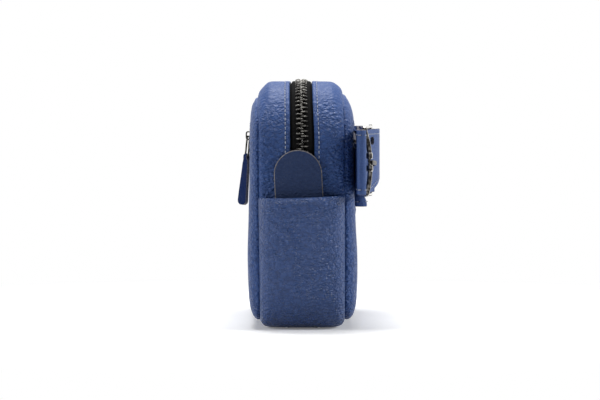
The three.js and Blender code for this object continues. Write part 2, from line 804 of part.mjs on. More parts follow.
function belt() {
  const strap = ribbon(strapRoute(), strapWidth, strapHeight);
  const holes = [punch(lowerRow), punch(upperRow)];
  const slot = box(
    buckleX - prongSlotFar,
    buckleX + prongSlotNear,
    barY - wrapRadius - skivedHide,
    barY + wrapRadius + skivedHide / 2 + clearance / 2,
    strapHeight + lowerRow - prongWidth / 2 - prongPlay,
    strapHeight + lowerRow + prongWidth / 2 + prongPlay,
  );
  place("belt_strap", meshOf(cut(strap, ...holes, slot, tailCut())), "leather");
}

// What the slanting lower corner of the tail leaves out, clear of the layers under it.
function tailCut() {
  const low = strapHeight - strapWidth / 2;
  const tip = new THREE.Shape();
  tip.moveTo(buckleX + tailSlant, low - 1);
  tip.lineTo(buckleX - tailPast - 1, low - 1);
  tip.lineTo(buckleX - tailPast - 1, low + tailRise);
  const depth = 12; // more than the buckled layers stand out
  const wedge = new THREE.ExtrudeGeometry(tip, { depth, bevelEnabled: false });
  const front = thirdRun + strapHide / 2 + clearance;
  const under = tailRun - strapHide / 2 - clearance / 2;
  const whole = solid(wedge.rotateX(Math.PI / 2).translate(0, front + depth, 0));
  return cut(whole, box(0, buckleX + wrapRadius + skivedHide + 2, 0, under, 0, bodyHeight));
}

// ---- Belt loops: bands sewn to the back panel above and below the belt ----
function beltLoop(x, name) {
  const stand = secondRun - strapHide / 2 - clearance - loopHide / 2;
  const foot = beltFace + loopHide / 2;
  const middle = strapHeight - strapSag / 2;
  const half = loopRoom / 2;
  const side = [
    [middle + half + loopFoot, foot],
    [middle + half, foot],
    [middle + half - loopEase, stand],
    [middle - half + loopEase, stand],
    [middle - half, foot],
    [middle - half - loopFoot, foot],
  ];
  const rings = side.map(([z, y]) =>
    corners.map(([u, v]) => new THREE.Vector3(x + (u * loopWidth) / 2, y + (v * loopHide) / 2, z)),
  );
  place(name, meshOf(loft(rings, [squareEnd, squareEnd])), "leather");
}

// ---- Buckle: a bowed frame with a round pivot bar, and a prong bent through the strap ----
const frontBarY = foldRun + 2 * foldRadius + strapHide / 2 + clearance + buckleThick / 2;

function buckle() {
  const half = buckleHeight / 2;
  const slope = Math.atan2(frontBarY - barY, buckleReach);
  const near = buckleReach + buckleThick / 2;
  const far = buckleReach - buckleThick / 2;
  const open = half - railWidth;
  const outerTurn = half - buckleCorner;
  const innerTurn = outerTurn - 0.6;
  const end = -1.2; // the rails' ends, just past the pivot bar
  const outline = new THREE.Shape();
  outline.moveTo(end, -half);
  outline.lineTo(buckleReach - 3, -half);
  outline.quadraticCurveTo(near, -half, near, -outerTurn);
  outline.lineTo(near, outerTurn);
  outline.quadraticCurveTo(near, half, buckleReach - 3, half);
  outline.lineTo(end, half);
  outline.lineTo(end, open);
  outline.lineTo(buckleReach - 4, open);
  outline.quadraticCurveTo(far, open, far, innerTurn);
  outline.lineTo(far, -innerTurn);
  outline.quadraticCurveTo(far, -open, buckleReach - 4, -open);
  outline.lineTo(end, -open);
  const flat = new THREE.ExtrudeGeometry(outline, {
    depth: buckleThick - 2 * buckleBevel,
    bevelThickness: buckleBevel,
    bevelSize: 0.3,
    bevelOffset: -0.3,
    bevelSegments: 1,
    curveSegments: 5,
  });
  flat.translate(0, 0, buckleBevel - buckleThick / 2).rotateX(Math.PI / 2);
  const bar = new THREE.CylinderGeometry(barRadius, barRadius, buckleHeight - 0.6, 12);
  bar.rotateX(Math.PI / 2);
  const rest = (z) => {
    const lug = new THREE.CylinderGeometry(restRadius, restRadius, restLength, 10);
    return solid(lug.rotateX(Math.PI / 2).translate(buckleReach, 1, z));
  };
  const gapHalf = (prongWidth + restLength) / 2 + clearance;
  const frame = join(solid(flat), solid(bar), rest(lowerRow + gapHalf), rest(lowerRow - gapHalf));
  const mesh = place("buckle_frame", meshOf(frame), "metal");
  mesh.position.set(buckleX, barY, strapHeight);
  mesh.rotation.z = slope;
}

function prong() {
  const half = prongThick / 2;
  const inner = barRadius + clearance;
  const line = new THREE.CatmullRomCurve3(
    [
      [1.5, -0.9],
      [9.5, -1.5],
      [13, -0.4],
      [18.5, 2.2],
      [23, 2.6],
      [30, 0.9],
      [buckleReach + prongPast, frontBarY - barY + buckleThick / 2 + clearance + half + 0.2],
    ].map(([x, y]) => new THREE.Vector3(x, y, 0)),
  );
  const points = line.getPoints(16);
  const side = (sign) =>
    points.map((p, i) => {
      const before = points[Math.max(0, i - 1)];
      const along = points[Math.min(16, i + 1)].clone().sub(before).normalize();
      return new THREE.Vector2(p.x - along.y * half * sign, p.y + along.x * half * sign);
    });
  const arm = new THREE.ExtrudeGeometry(new THREE.Shape([...side(1), ...side(-1).reverse()]), {
    depth: prongWidth,
    bevelEnabled: false,
  });
  const across = (radius, width) =>
    solid(new THREE.CylinderGeometry(radius, radius, width, 14).rotateX(Math.PI / 2));
  const ring = across(inner + prongEye, prongWidth);
  const eye = across(inner, prongWidth + 2);
  const body = cut(join(ring, solid(arm.translate(0, 0, -prongWidth / 2))), eye);
  const mesh = place("buckle_prong", meshOf(body), "metal");
  mesh.position.set(buckleX, barY, strapHeight + lowerRow);
}

gusset();
panels();
linings();
pocket(1);
pocket(-1);
tab(1);
tab(-1);
for (const side of [-1, 1]) {
  mainTeeth(side);
  mainTape(side);
  frontTeeth(side);
  frontTape(side);
}
pouch();
sliders();
belt();
beltLoop(loopPlace, "near_belt_loop");
beltLoop(-loopPlace, "far_belt_loop");
buckle();
prong();

export default root;
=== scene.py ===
import math

import bpy
from mathutils import Matrix, Vector, noise
from mathutils.bvhtree import BVHTree


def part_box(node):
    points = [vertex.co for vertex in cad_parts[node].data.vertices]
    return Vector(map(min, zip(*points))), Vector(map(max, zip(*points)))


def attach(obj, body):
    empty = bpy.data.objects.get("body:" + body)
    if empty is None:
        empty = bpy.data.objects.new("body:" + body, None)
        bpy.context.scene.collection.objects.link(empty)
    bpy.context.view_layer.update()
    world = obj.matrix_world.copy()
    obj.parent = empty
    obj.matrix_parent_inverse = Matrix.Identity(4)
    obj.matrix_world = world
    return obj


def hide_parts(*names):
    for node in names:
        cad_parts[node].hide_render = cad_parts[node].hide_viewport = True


print("belt bag: loading the frame")
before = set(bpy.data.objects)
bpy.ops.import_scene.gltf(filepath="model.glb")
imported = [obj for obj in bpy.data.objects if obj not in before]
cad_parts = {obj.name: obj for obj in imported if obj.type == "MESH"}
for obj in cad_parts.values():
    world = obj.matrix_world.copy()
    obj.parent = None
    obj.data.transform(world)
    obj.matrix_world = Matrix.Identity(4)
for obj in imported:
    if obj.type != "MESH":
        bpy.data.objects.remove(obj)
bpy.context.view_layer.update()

# Everything below is worked out in millimetres and turned into metres when a mesh is made.
mm = 0.001


def cadBox(node):
    low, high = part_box(node)
    return Vector(low) / mm, Vector(high) / mm


def addObject(name, data):
    made = bpy.data.objects.new(name, data)
    bpy.context.scene.collection.objects.link(made)
    return made


view = {
    "distance": 2000,  # from the near end of the bag
    "frameWidth": 384.3,  # what the picture takes in at the near end
    "sideways": -0.975,
    "height": 158,  # level with the top of the bag
    "aim": 83.9,
    "sensor": 36,
}
light = {
    "world": 0.1,
    "sky": (0.93, 0.96, 1, 1),
    "white": (1, 1, 1, 1),
    "floorGlow": 0.15,
    "floorShade": 0.98,
    "floorBounce": 0.7,  # its tone for the light that it sends back to the bag
    "floorNear": 0.2,  # the floor takes shadows up to here, in metres
    "floorFar": 0.42,
    "floorHalf": 30,
}
# lamps, with their places and sizes in metres
lampAim = Vector((0.05, 0, 0.09))
lamps = {
    "topLamp": {"place": (-0.24, -0.03, 1.2), "size": 0.7, "power": 13.5},
    "leftLamp": {"place": (0.38, -1.1, 0.62), "size": 0.6, "power": 6.2},
    "rightLamp": {"place": (0.26, 1.1, 0.6), "size": 0.5, "power": 8.2},
    "frontLamp": {"place": (1.4, -0.3, 0.7), "size": 1.0, "power": 0.25},
}

nearEnd = cadBox("base_gusset")[1].x
camera = addObject("endCamera", bpy.data.cameras.new("endCamera"))
camera.data.sensor_width = view["sensor"]
camera.data.lens = view["sensor"] * view["distance"] / view["frameWidth"]
camera.data.clip_end = 100
camera.location = Vector((nearEnd + view["distance"], view["sideways"], view["height"])) * mm
dip = math.atan2(view["height"] - view["aim"], view["distance"])
camera.rotation_euler = (math.radians(90) - dip, 0, math.radians(90))
bpy.context.scene.camera = camera
bpy.context.scene.view_settings.view_transform = "Standard"


# building blocks for finishes
def setInputs(node, **values):
    for key, value in values.items():
        node.inputs[key.replace("_", " ")].default_value = value


def addNode(tree, kind, settings=(), **values):
    node = tree.nodes.new(kind)
    for key, value in dict(settings).items():
        setattr(node, key, value)
    setInputs(node, **values)
    return node


def join(tree, source, output, target, socket):
    tree.links.new(source.outputs[output], target.inputs[socket])


def emptyTree(owner):
    owner.use_nodes = True
    owner.node_tree.nodes.clear()
    return owner.node_tree


def ranged(tree, source, output, low, high, toLow=0.0, toHigh=1.0, smooth=True):
    kind = "SMOOTHSTEP" if smooth else "LINEAR"
    node = addNode(tree, "ShaderNodeMapRange", {"interpolation_type": kind})
    for socket, value in zip(range(1, 5), (low, high, toLow, toHigh)):
        node.inputs[socket].default_value = value
    join(tree, source, output, node, 0)
    return node


def combine(tree, operation, first, second):
    node = addNode(tree, "ShaderNodeMath", {"operation": operation})
    for socket, item in enumerate((first, second)):
        if isinstance(item, (int, float)):
            node.inputs[socket].default_value = item
        else:
            join(tree, item, 0, node, socket)
    return node


def joinedShaders(tree, kind, *sources):
    node = addNode(tree, kind)
    for socket, source in enumerate(sources):
        join(tree, source, 0, node, socket)
    return node


def tinted(tree, factor, first, second):
    node = addNode(tree, "ShaderNodeMix", {"data_type": "RGBA"})
    join(tree, factor, 0, node, 0)
    for socket, item in ((6, first), (7, second)):
        if isinstance(item, tuple):
            node.inputs[socket].default_value = item
        else:
            tree.links.new(item.outputs[2], node.inputs[socket])
    return node


def bumped(tree, height, shader, distance):
    node = addNode(tree, "ShaderNodeBump", Strength=1, Distance=distance)
    join(tree, height, 0, node, "Height")
    join(tree, node, 0, shader, "Normal")


def textured(tree, kind, source, settings=(), **values):
    # a pattern laid over a piece's own coordinates, or over ones made from them
    node = addNode(tree, "ShaderNodeTex" + kind, settings, **values)
    join(tree, source, "Object" if "Object" in source.outputs else 0, node, 0)
    return node


def stretched(tree, place, scale):
    mapping = addNode(tree, "ShaderNodeMapping", Scale=scale)
    join(tree, place, "Object", mapping, 0)
    return mapping


def warped(tree, source, scale, amount):
    # coordinates pushed about by a noise, so that no pattern runs straight
    push = textured(tree, "Noise", source, Scale=scale, Detail=2)
    centre = addNode(tree, "ShaderNodeVectorMath", {"operation": "SUBTRACT"})
    centre.inputs[1].default_value = (0.5, 0.5, 0.5)
    size = addNode(tree, "ShaderNodeVectorMath", {"operation": "SCALE"}, Scale=amount)
    total = addNode(tree, "ShaderNodeVectorMath", {"operation": "ADD"})
    join(tree, push, "Color", centre, 0)
    join(tree, centre, 0, size, 0)
    join(tree, source, 0, total, 0)
    join(tree, size, 0, total, 1)
    return total


def seenDirectly(tree):
    # 1 for camera, glossy and see-through rays, which all meet a plain white studio
    rays = addNode(tree, "ShaderNodeLightPath")
    first = addNode(tree, "ShaderNodeMath", {"operation": "MAXIMUM"})
    both = addNode(tree, "ShaderNodeMath", {"operation": "MAXIMUM"})
    join(tree, rays, "Is Camera Ray", first, 0)
    join(tree, rays, "Is Glossy Ray", first, 1)
    join(tree, first, 0, both, 0)
    join(tree, rays, "Is Transmission Ray", both, 1)
    return both


def makeStudio():
    world = bpy.data.worlds.new("paleStudio")
    bpy.context.scene.world = world
    tree = emptyTree(world)
    white = light["white"]
    seen = addNode(tree, "ShaderNodeBackground", Color=white, Strength=1)
    lit = addNode(tree, "ShaderNodeBackground", Color=light["sky"], Strength=light["world"])
    mix = joinedShaders(tree, "ShaderNodeMixShader", seenDirectly(tree), lit, seen)
    joinedShaders(tree, "ShaderNodeOutputWorld", mix)

    # the floor keeps soft shadows near the bag and melts into the white further out
    material = bpy.data.materials.new("paleFloor")
    tree = emptyTree(material)
    place = addNode(tree, "ShaderNodeTexCoord")
    reach = addNode(tree, "ShaderNodeVectorMath", {"operation": "LENGTH"})
    join(tree, place, "Object", reach, 0)
    away = ranged(tree, reach, "Value", light["floorNear"], light["floorFar"])
    tones = (light["floorBounce"], light["floorShade"])
    paint, shade = (addNode(tree, "ShaderNodeBsdfDiffuse", Color=(t, t, t, 1)) for t in tones)
    glow = addNode(tree, "ShaderNodeEmission", Color=white, Strength=light["floorGlow"])
    bright = addNode(tree, "ShaderNodeEmission", Color=white, Strength=1)
    both = joinedShaders(tree, "ShaderNodeAddShader", shade, glow)
    near = joinedShaders(tree, "ShaderNodeMixShader", away, both, bright)
    mix = joinedShaders(tree, "ShaderNodeMixShader", seenDirectly(tree), paint, near)
    joinedShaders(tree, "ShaderNodeOutputMaterial", mix)
    half = light["floorHalf"]
    spots = [(-half, -half, 0), (half, -half, 0), (half, half, 0), (-half, half, 0)]
    mesh = bpy.data.meshes.new("studioFloor")
    mesh.from_pydata(spots, [], [(0, 1, 2, 3)])
    mesh.materials.append(material)
    addObject("studioFloor", mesh)


def addLamps():
    for name, look in lamps.items():
        data = bpy.data.lights.new(name, "AREA")
        data.shape = "DISK"
        data.size = look["size"]
        data.energy = look["power"]
        lamp = addObject(name, data)
        lamp.location = look["place"]
        aimed = (lampAim - Vector(look["place"])).to_track_quat("-Z", "Y")
        lamp.rotation_euler = aimed.to_euler()


makeStudio()
addLamps()


def finishNodes(name):
    material = bpy.data.materials.new(name)
    tree = emptyTree(material)
    shader = addNode(tree, "ShaderNodeBsdfPrincipled")
    joinedShaders(tree, "ShaderNodeOutputMaterial", shader)
    return material, tree, shader, addNode(tree, "ShaderNodeTexCoord")


def colourOf(code):
    # a colour written as sRGB hex, as a linear colour
    parts = [int(code[i : i + 2], 16) / 255 for i in (1, 3, 5)]
    return tuple(p / 12.92 if p <= 0.04045 else ((p + 0.055) / 1.055) ** 2.4 for p in parts) + (1,)


def toned(tree, shader, factor, look):
    colour = tinted(tree, factor, colourOf(look["dark"]), colourOf(look["light"]))
    join(tree, colour, 2, shader, "Base Color")


grain = {
    "pushEvery": 2.5,  # pebbles between one sway of their rows and the next
    "push": 1.2,
    "small": 0.5,  # the second size of pebble, as a share of the first
    "smallHeight": 0.45,
    "domeFrom": 0.12,  # where a pebble's side starts and ends, counted from its middle
    "domeTo": 0.72,
    "creaseFrom": 0.42,
    "creaseTo": 0.8,
    "driftScale": 34,  # slow change of boldness over the hide
    "boldFrom": 0.36,
    "boldTo": 0.58,
    "faintest": 0.35,
    "wornFrom": 0.3,
    "wornTo": 0.8,
    "stretched": 0.22,  # what is left of the grain over the top of the bag
    "poreScale": 2200,
    "creaseRough": 0.2,
}


def pebbledLeather(name, look):
    # rounded pebbles in two sizes with creases between them, bolder in some places and
    # calmer where the leather is stretched over the top of the bag; the creases are painted darker
    # as painted shade
    material, tree, shader, place = finishNodes(name)
    size = look["pebble"] * mm
    base = stretched(tree, place, look["stretch"])
    moved = warped(tree, base, 1 / (size * grain["pushEvery"]), size * grain["push"])
    dome = (grain["domeFrom"], grain["domeTo"])
    cells = textured(tree, "Voronoi", moved, Scale=1 / size)
    smallCells = textured(tree, "Voronoi", moved, Scale=1 / (size * grain["small"]))
    drift = textured(tree, "Noise", place, Scale=grain["driftScale"], Detail=2)
    level = addNode(tree, "ShaderNodeSeparateXYZ")
    join(tree, place, "Object", level, 0)
    calmFrom, calmTo = look["calmFrom"] * mm, look["calmTo"] * mm
    calm = ranged(tree, level, 2, calmFrom, calmTo, 1.0, grain["stretched"])
    bold = ranged(tree, drift, 0, grain["boldFrom"], grain["boldTo"], grain["faintest"], 1.0)
    bold = combine(tree, "MULTIPLY", bold, calm)
    large = combine(tree, "MULTIPLY", ranged(tree, cells, 0, *dome, 1.0, 0.0), bold)
    small = ranged(tree, smallCells, 0, *dome, grain["smallHeight"], 0.0)
    small = combine(tree, "MULTIPLY", small, calm)
    fine = textured(tree, "Noise", place, Scale=grain["poreScale"], Detail=2)
    pores = combine(tree, "MULTIPLY", fine, look["pores"])
    raised = combine(tree, "ADD", combine(tree, "ADD", large, small), pores)
    bumped(tree, raised, shader, look["depth"] * mm)
    # the crease colour is painted shade: darkest in the valleys between pebbles, fainter over the
    # top
    creases = (grain["creaseFrom"], grain["creaseTo"])
    paintedCreaseShade = ranged(tree, cells, 0, *creases, 0.0, look["paintedCreaseShade"])
    shade = combine(tree, "MULTIPLY", paintedCreaseShade, calm)
    shade = tinted(tree, shade, colourOf(look["colour"]), colourOf(look["crease"]))
    worn = ranged(tree, drift, 0, grain["wornFrom"], grain["wornTo"], 0.0, look["drift"])
    join(tree, tinted(tree, worn, shade, colourOf(look["pale"])), 2, shader, "Base Color")
    roughest = look["rough"] + grain["creaseRough"]
    rough = ranged(tree, paintedCreaseShade, 0, 0, 1, look["rough"], roughest, False)
    join(tree, rough, 0, shader, "Roughness")
    setInputs(shader, Specular_IOR_Level=look["gloss"])
    return material


def rawEdge(name, look):
    # the cut edge of the hide: layered, fibrous and unpainted
    material, tree, shader, place = finishNodes(name)
    layers = textured(tree, "Noise", place, Scale=900, Detail=6, Roughness=0.7)
    toned(tree, shader, ranged(tree, layers, 0, 0.3, 0.7), look)
    setInputs(shader, Roughness=0.85)
    bumped(tree, layers, shader, 0.2 * mm)
    return material


def wovenCloth(name, look):
    # crossing ribs of thread
    material, tree, shader, place = finishNodes(name)
    ribs = []
    for direction in ("X", "Z"):
        settings = {"bands_direction": direction}
        thread = {"Scale": look["threads"], "Distortion": 0.6, "Detail": 1}
        ribs.append(textured(tree, "Wave", place, settings, **thread))
    weave = combine(tree, "MULTIPLY", *ribs)
    lint = textured(tree, "Noise", place, Scale=1500, Detail=3)
    mixed = combine(tree, "ADD", weave, combine(tree, "MULTIPLY", lint, 0.4))
    toned(tree, shader, ranged(tree, mixed, 0, 0.1, 1.1), look)
    setInputs(shader, Roughness=0.92, Specular_IOR_Level=0.12)
    bumped(tree, mixed, shader, 0.12 * mm)
    return material


def platedMetalWithPaintedReflection(name, look):
    # dark polished plating with fine scratches; its colour is painted brighter where it curves away
    # from the camera, a painted reflection
    material, tree, shader, place = finishNodes(name)
    patch = textured(tree, "Noise", place, Scale=420, Detail=4)
    drawn = stretched(tree, place, (1, 1, 0.08))
    scratch = textured(tree, "Noise", drawn, Scale=1100, Detail=2)
    # the facing weight takes the colour from dark to light: a painted reflection at the metal's
    # turned edges
    edge = addNode(tree, "ShaderNodeLayerWeight", Blend=look["paintedReflectionBlend"])
    turn = ranged(tree, edge, "Facing", look["from"], look["to"])
    cloud = combine(tree, "MULTIPLY", ranged(tree, patch, 0, 0.4, 0.75), look["cloud"])
    toned(tree, shader, combine(tree, "ADD", turn, cloud), look)
    low, high = look["rough"] - 0.05, look["rough"] + 0.1
    join(tree, ranged(tree, scratch, 0, 0.3, 0.7, low, high, False), 0, shader, "Roughness")
    setInputs(shader, Metallic=1)
    bumped(tree, scratch, shader, 0.02 * mm)
    return material


def sewingThread(name, look):
    material, tree, shader, place = finishNodes(name)
    ply = textured(tree, "Wave", place, Scale=650, Distortion=1)
    twist = ranged(tree, ply, "Fac", 0, 1)
    toned(tree, shader, twist, look)
    setInputs(shader, Roughness=0.5)
    bumped(tree, twist, shader, 0.08 * mm)
    return material


bodyHide = {
    "colour": "#2f4e88",
    # crease is the tone of the painted shade between the pebbles
    "crease": "#12254f",
    "pale": "#3d5b95",
    "pebble": 2.6,
    "depth": 0.95,
    "pores": 0.12,
    "paintedCreaseShade": 0.5,  # how dark the painted shade in the creases is
    "calmFrom": 128,
    "calmTo": 154,
    "stretch": (1, 0.8, 1.2),
    "drift": 0.25,
    "rough": 0.44,
    "gloss": 0.27,
}
pocketHide = dict(bodyHide, pebble=2.3, paintedCreaseShade=0.4, rough=0.34, gloss=0.45)
strapHide = dict(bodyHide, colour="#3a568e", crease="#294176", pale="#4b6399")
strapHide.update(pebble=0.9, depth=0.22)
tabHide = dict(bodyHide, colour="#1f345c", crease="#19294c", pale="#273b64")
tabHide.update(gloss=0.25, pebble=1.5, depth=0.3)
# the pull's leather is a darker copy of the strap leather: painted shade on the pull
shadedPullHide = dict(strapHide, colour="#0a2353", crease="#071a40", pale="#10295a")
shadedPullHide.update(rough=0.7, gloss=0.1)
edgeLook = {"dark": "#5c5a61", "light": "#8f8b8d"}
beltEdgeLook = {"dark": "#2e3040", "light": "#6d6a72"}
tapeLook = {"dark": "#040404", "light": "#131314", "threads": 620}
liningLook = {"dark": "#191b22", "light": "#2d3039", "threads": 520}
# light is the tone of the painted reflection where the metal turns away from the camera
zipMetal = {"dark": "#2b2a29", "light": "#dcd9d2", "rough": 0.22, "cloud": 0.25}
zipMetal.update({"paintedReflectionBlend": 0.42, "from": 0.35, "to": 0.78})
# the prong's metal is a darker copy of the same plating: painted shade on the prong
shadedProngMetal = dict(zipMetal, dark="#1a1919", light="#4a4745", rough=0.3, paintedReflectionBlend=0.5)
buckleMetal = dict(zipMetal, dark="#232221", light="#e8e5de", rough=0.14, paintedReflectionBlend=0.56)
threadLook = {"dark": "#8089a3", "light": "#b4bccf"}
# the needle holes' near-black tones are painted shade
needleShadeLook = {"dark": "#02040a", "light": "#080d1c"}

finishes = {
    "body": pebbledLeather("pebbledHide", bodyHide),
    "pocket": pebbledLeather("pocketHide", pocketHide),
    "strap": pebbledLeather("strapHide", strapHide),
    "tab": pebbledLeather("tabHide", tabHide),
    "pull": pebbledLeather("shadedPullHide", shadedPullHide),
    "edge": rawEdge("cutEdge", edgeLook),
    "strapEdge": rawEdge("strapCutEdge", beltEdgeLook),
    "tape": wovenCloth("zipTape", tapeLook),
    "lining": wovenCloth("liningCloth", liningLook),
    "zip": platedMetalWithPaintedReflection("zipPlating", zipMetal),
    "buckle": platedMetalWithPaintedReflection("bucklePlating", buckleMetal),
    "prong": platedMetalWithPaintedReflection("shadedProngPlating", shadedProngMetal),
    "thread": sewingThread("paleThread", threadLook),
    "hole": sewingThread("needleHoleShade", needleShadeLook),
}
print("belt bag: finishes ready")


def clamp(value, low=0, high=1):
    return min(high, max(low, value))


def smoothStep(value):
    value = clamp(value)
    return value * value * (3 - 2 * value)


def ridge(value, middle, width):
    # a smooth hump, 1 at its middle
    return math.exp(-(((value - middle) / width) ** 2))


def spread(low, high, count):
    return [low + (high - low) * i / (count - 1) for i in range(count)]


def waver(point, size, seed=0.0):
    return noise.noise(point / size + Vector((seed, 3.1 * seed, -seed)))


settle = {
    "lean": 0.9,
    "leanFrom": 118,  # height where the lean sets in
    "leanOver": 42,
    "nearFrom": -58,  # and where along the bag
    "nearOver": 60,
    "zipHalf": 9,
    "zipFade": 8,
    "zipNarrow": 0.06,
    "zipShift": 0.5,
    "drawIn": 1.2,  # the front, low down
    "drawTop": 110,
    "drawOver": 20,
    "frontDrop": 4.9,  # how far the shoulders slope down
    "backDrop": 2.7,
    "dropFrom": 18.5,
    "dropOver": 9.5,
    "dropPower": 1.3,
    "dropBase": 125,
    "dropRise": 32,
}


def settled(point):
    # the top leans a little to the front towards the near end and slopes at its shoulders,
    # the zip sits off the middle and runs narrower there, and the front draws in low down
    s = settle
    aside = abs(point.y)
    high = smoothStep((point.z - s["leanFrom"]) / s["leanOver"])
    high *= smoothStep((point.x - s["nearFrom"]) / s["nearOver"])
    near = 1 - smoothStep((aside - s["zipHalf"]) / s["zipFade"])
    y = point.y * (1 - s["zipNarrow"] * high * near) - s["lean"] * high + s["zipShift"] * near
    low = 1 - smoothStep(point.z / s["drawTop"])
    y += s["drawIn"] * low * smoothStep(-point.y / s["drawOver"])
    drop = s["frontDrop" if point.y < 0 else "backDrop"]
    drop *= smoothStep((aside - s["dropFrom"]) / s["dropOver"]) ** s["dropPower"]
    drop *= smoothStep((point.z - s["dropBase"]) / s["dropRise"])
    return Vector((point.x, y, max(0, point.z - drop)))


def meshFrom(name, points, faces):
    mesh = bpy.data.meshes.new(name)
    mesh.from_pydata([tuple(p * mm) for p in points], [], faces)
    return mesh


def makePiece(
    name,
    points,
    faces,
    looks,
    slots=None,
    node=None,
    body="bag",
    slot="bag_leather",
    sharp=40,
    lean=False,
):
    # slots says which look each face has, sharp is the angle above which an edge stays crisp
    if lean:
        points = [settled(p) for p in points]
    mesh = meshFrom(name, points, faces)
    kept = list(dict.fromkeys(looks))
    for look in kept:
        mesh.materials.append(finishes[look])
    if slots:
        mesh.polygons.foreach_set("material_index", [kept.index(looks[i]) for i in slots])
    mesh.polygons.foreach_set("use_smooth", [True] * len(mesh.polygons))
    mesh.set_sharp_from_angle(angle=math.radians(sharp))
    mesh.validate()
    piece = addObject(name, mesh)
    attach(piece, body)
    if node:
        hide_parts(node)
    return piece


def ringFaces(a, b, count, flip=False):
    # faces between the ring of points that starts at a and the one that starts at b
    faces = []
    for j in range(count):
        k = (j + 1) % count
        faces.append((a + j, a + k, b + k, b + j) if flip else (a + j, b + j, b + k, a + k))
    return faces


def capFace(start, count, back=False):
    ring = range(start, start + count)
    return tuple(reversed(ring)) if back else tuple(ring)


def merged(parts):
    points, faces = [], []
    for somePoints, someFaces in parts:
        start = len(points)
        points += somePoints
        faces += [tuple(start + i for i in face) for face in someFaces]
    return points, faces


def loftLoops(loops, roles):
    # faces between one loop and the next, with both ends filled
    points = [p for loop in loops for p in loop]
    count = len(loops[0])
    faces = []
    for i in range(len(loops) - 1):
        faces += ringFaces(i * count, (i + 1) * count, count)
    faces += [capFace(0, count), capFace(len(points) - count, count, True)]
    return points, faces, roles * (len(loops) - 1) + [1, 1]


rimSteps = 4  # stretches round the rim of a sheet


def sheetLoop(points, normals, thick, bulge):
    # one closed loop round a sheet's section, and which look each stretch of it has:
    # 0 its face, 1 its rims, 2 its back
    def rim(point, normal, outward):
        made = []
        for i in range(1, rimSteps):
            share = i / rimSteps
            bow = outward * bulge * math.sin(math.pi * share)
            made.append(point - normal * thick * share + bow)
        return made

    first = (points[0] - points[1]).normalized()
    last = (points[-1] - points[-2]).normalized()
    back = [p - n * thick for p, n in zip(reversed(points), reversed(normals))]
    loop = points + rim(points[-1], normals[-1], last) + back
    loop += reversed(rim(points[0], normals[0], first))
    side = len(points) - 1
    return loop, [0] * side + [1] * rimSteps + [2] * side + [1] * rimSteps


def sheetPiece(name, rows, thick, bulge, looks, **more):
    # rows of (point, normal) pairs; the section runs along each row
    loops, roles = [], []
    for row in rows:
        loop, roles = sheetLoop([p for p, _ in row], [n for _, n in row], thick, bulge)
        loops.append(loop)
    points, faces, slots = loftLoops(loops, roles)
    return makePiece(name, points, faces, looks, slots, **more)


bag = {
    "half": nearEnd,
    "height": cadBox("zip_gusset_front")[1].z,
    "seam": cadBox("base_gusset")[1].y,
    "topCorner": 42,
    "bottomCorner": 26,
    "flat": 21,  # where the gusset starts to roll down to its seam
    "roll": 10.2,  # how long that roll is
    "rollMost": 1.3,  # the furthest that a place may lie along it, as a share
    "drop": 6,
    "hide": 2,
}
corners = [(1, 1, 0), (-1, 1, 90), (-1, -1, 180), (1, -1, 270)]


def cornerRadius(up):
    return bag["topCorner" if up > 0 else "bottomCorner"]


# the outline's parts in turn: a corner, the straight after it, the next corner and so on
lengths = []
for across, up, _ in corners:
    lengths.append(math.pi / 2 * cornerRadius(up))
    if across == up:
        lengths.append(2 * (bag["half"] - cornerRadius(up)))
    else:
        lengths.append(bag["height"] - bag["topCorner"] - bag["bottomCorner"])
wholeOutline = sum(lengths)
topRun = sum(lengths[:3])


def cornerPoint(index, share, inset):
    across, up, start = corners[index % 4]
    radius = max(3, cornerRadius(up) - inset)
    x = across * (bag["half"] - inset - radius)
    z = bag["height"] - inset - radius if up > 0 else inset + radius
    turn = math.radians(start + 90 * share)
    return Vector((x + radius * math.cos(turn), 0, z + radius * math.sin(turn))), turn


def stationPoint(station, inset):
    # a station is a part of the outline and the share of that part gone by
    part, share = station
    if part % 2 == 0:
        return cornerPoint(part // 2, share, inset)
    first, turn = cornerPoint(part // 2, 1, inset)
    second, _ = cornerPoint(part // 2 + 1, 0, inset)
    return first.lerp(second, share), turn


def outlinePoint(along):
    # along is the distance from the near end's upper corner, up and over the top
    along %= wholeOutline
    part = 0
    while along > lengths[part]:
        along -= lengths[part]
        part += 1
    point, turn = stationPoint((part, along / lengths[part]), 0)
    return point, Vector((math.cos(turn), 0, math.sin(turn)))


def crownPoint(across):
    # sideways place, drop and lean of the gusset's section at a distance from its middle
    side = 1 if across > 0 else -1
    past = abs(across) - bag["flat"]
    if past <= 0:
        return across, 0.0, 0.0
    wide = bag["seam"] - bag["flat"]
    turn = min(past / bag["roll"], bag["rollMost"]) * math.pi / 2
    place = side * (bag["flat"] + wide * math.sin(turn))
    lean = math.atan2(math.sin(turn) / wide, math.cos(turn) / bag["drop"])
    return place, bag["drop"] * (1 - math.cos(turn)), side * lean


gusset = {
    "slotHalf": 7.9,  # the turned edge beside the zip
    "stitchLine": 10.8,
    "step": 1.3,
    "baseMeet": 75.5,  # height where the strips meet inside the pockets
    "meetGap": 0.3,
    "topRim": 0.55,  # how round the strips' cut edges are
    "baseRim": 0.2,
    "hemEnd": 12.4,
    "reach": 1.13,  # how much of the roll the strips cover
    "unevenness": 0.3,
    "unevenSize": 17,
    "ripple": 0.1,
    "rippleSize": 6,
    "calmFrom": 9,
    "calmOver": 8,
    "hem": 0.16,
    "hemWidth": 1.3,
    "groove": 0.3,
    "grooveWidth": 0.55,
    "pucker": 0.22,
    "puckerSize": 3.4,
    "puckerFrom": 23,
    "puckerOver": 4,
    "swell": 0.45,  # soft swell beside each seam
    "swellAt": 26.3,
    "swellWidth": 1.7,
    "crown": 0.4,  # how much the strips fall away from the zip
    "crownFrom": 7,
    "crownOver": 15,
}


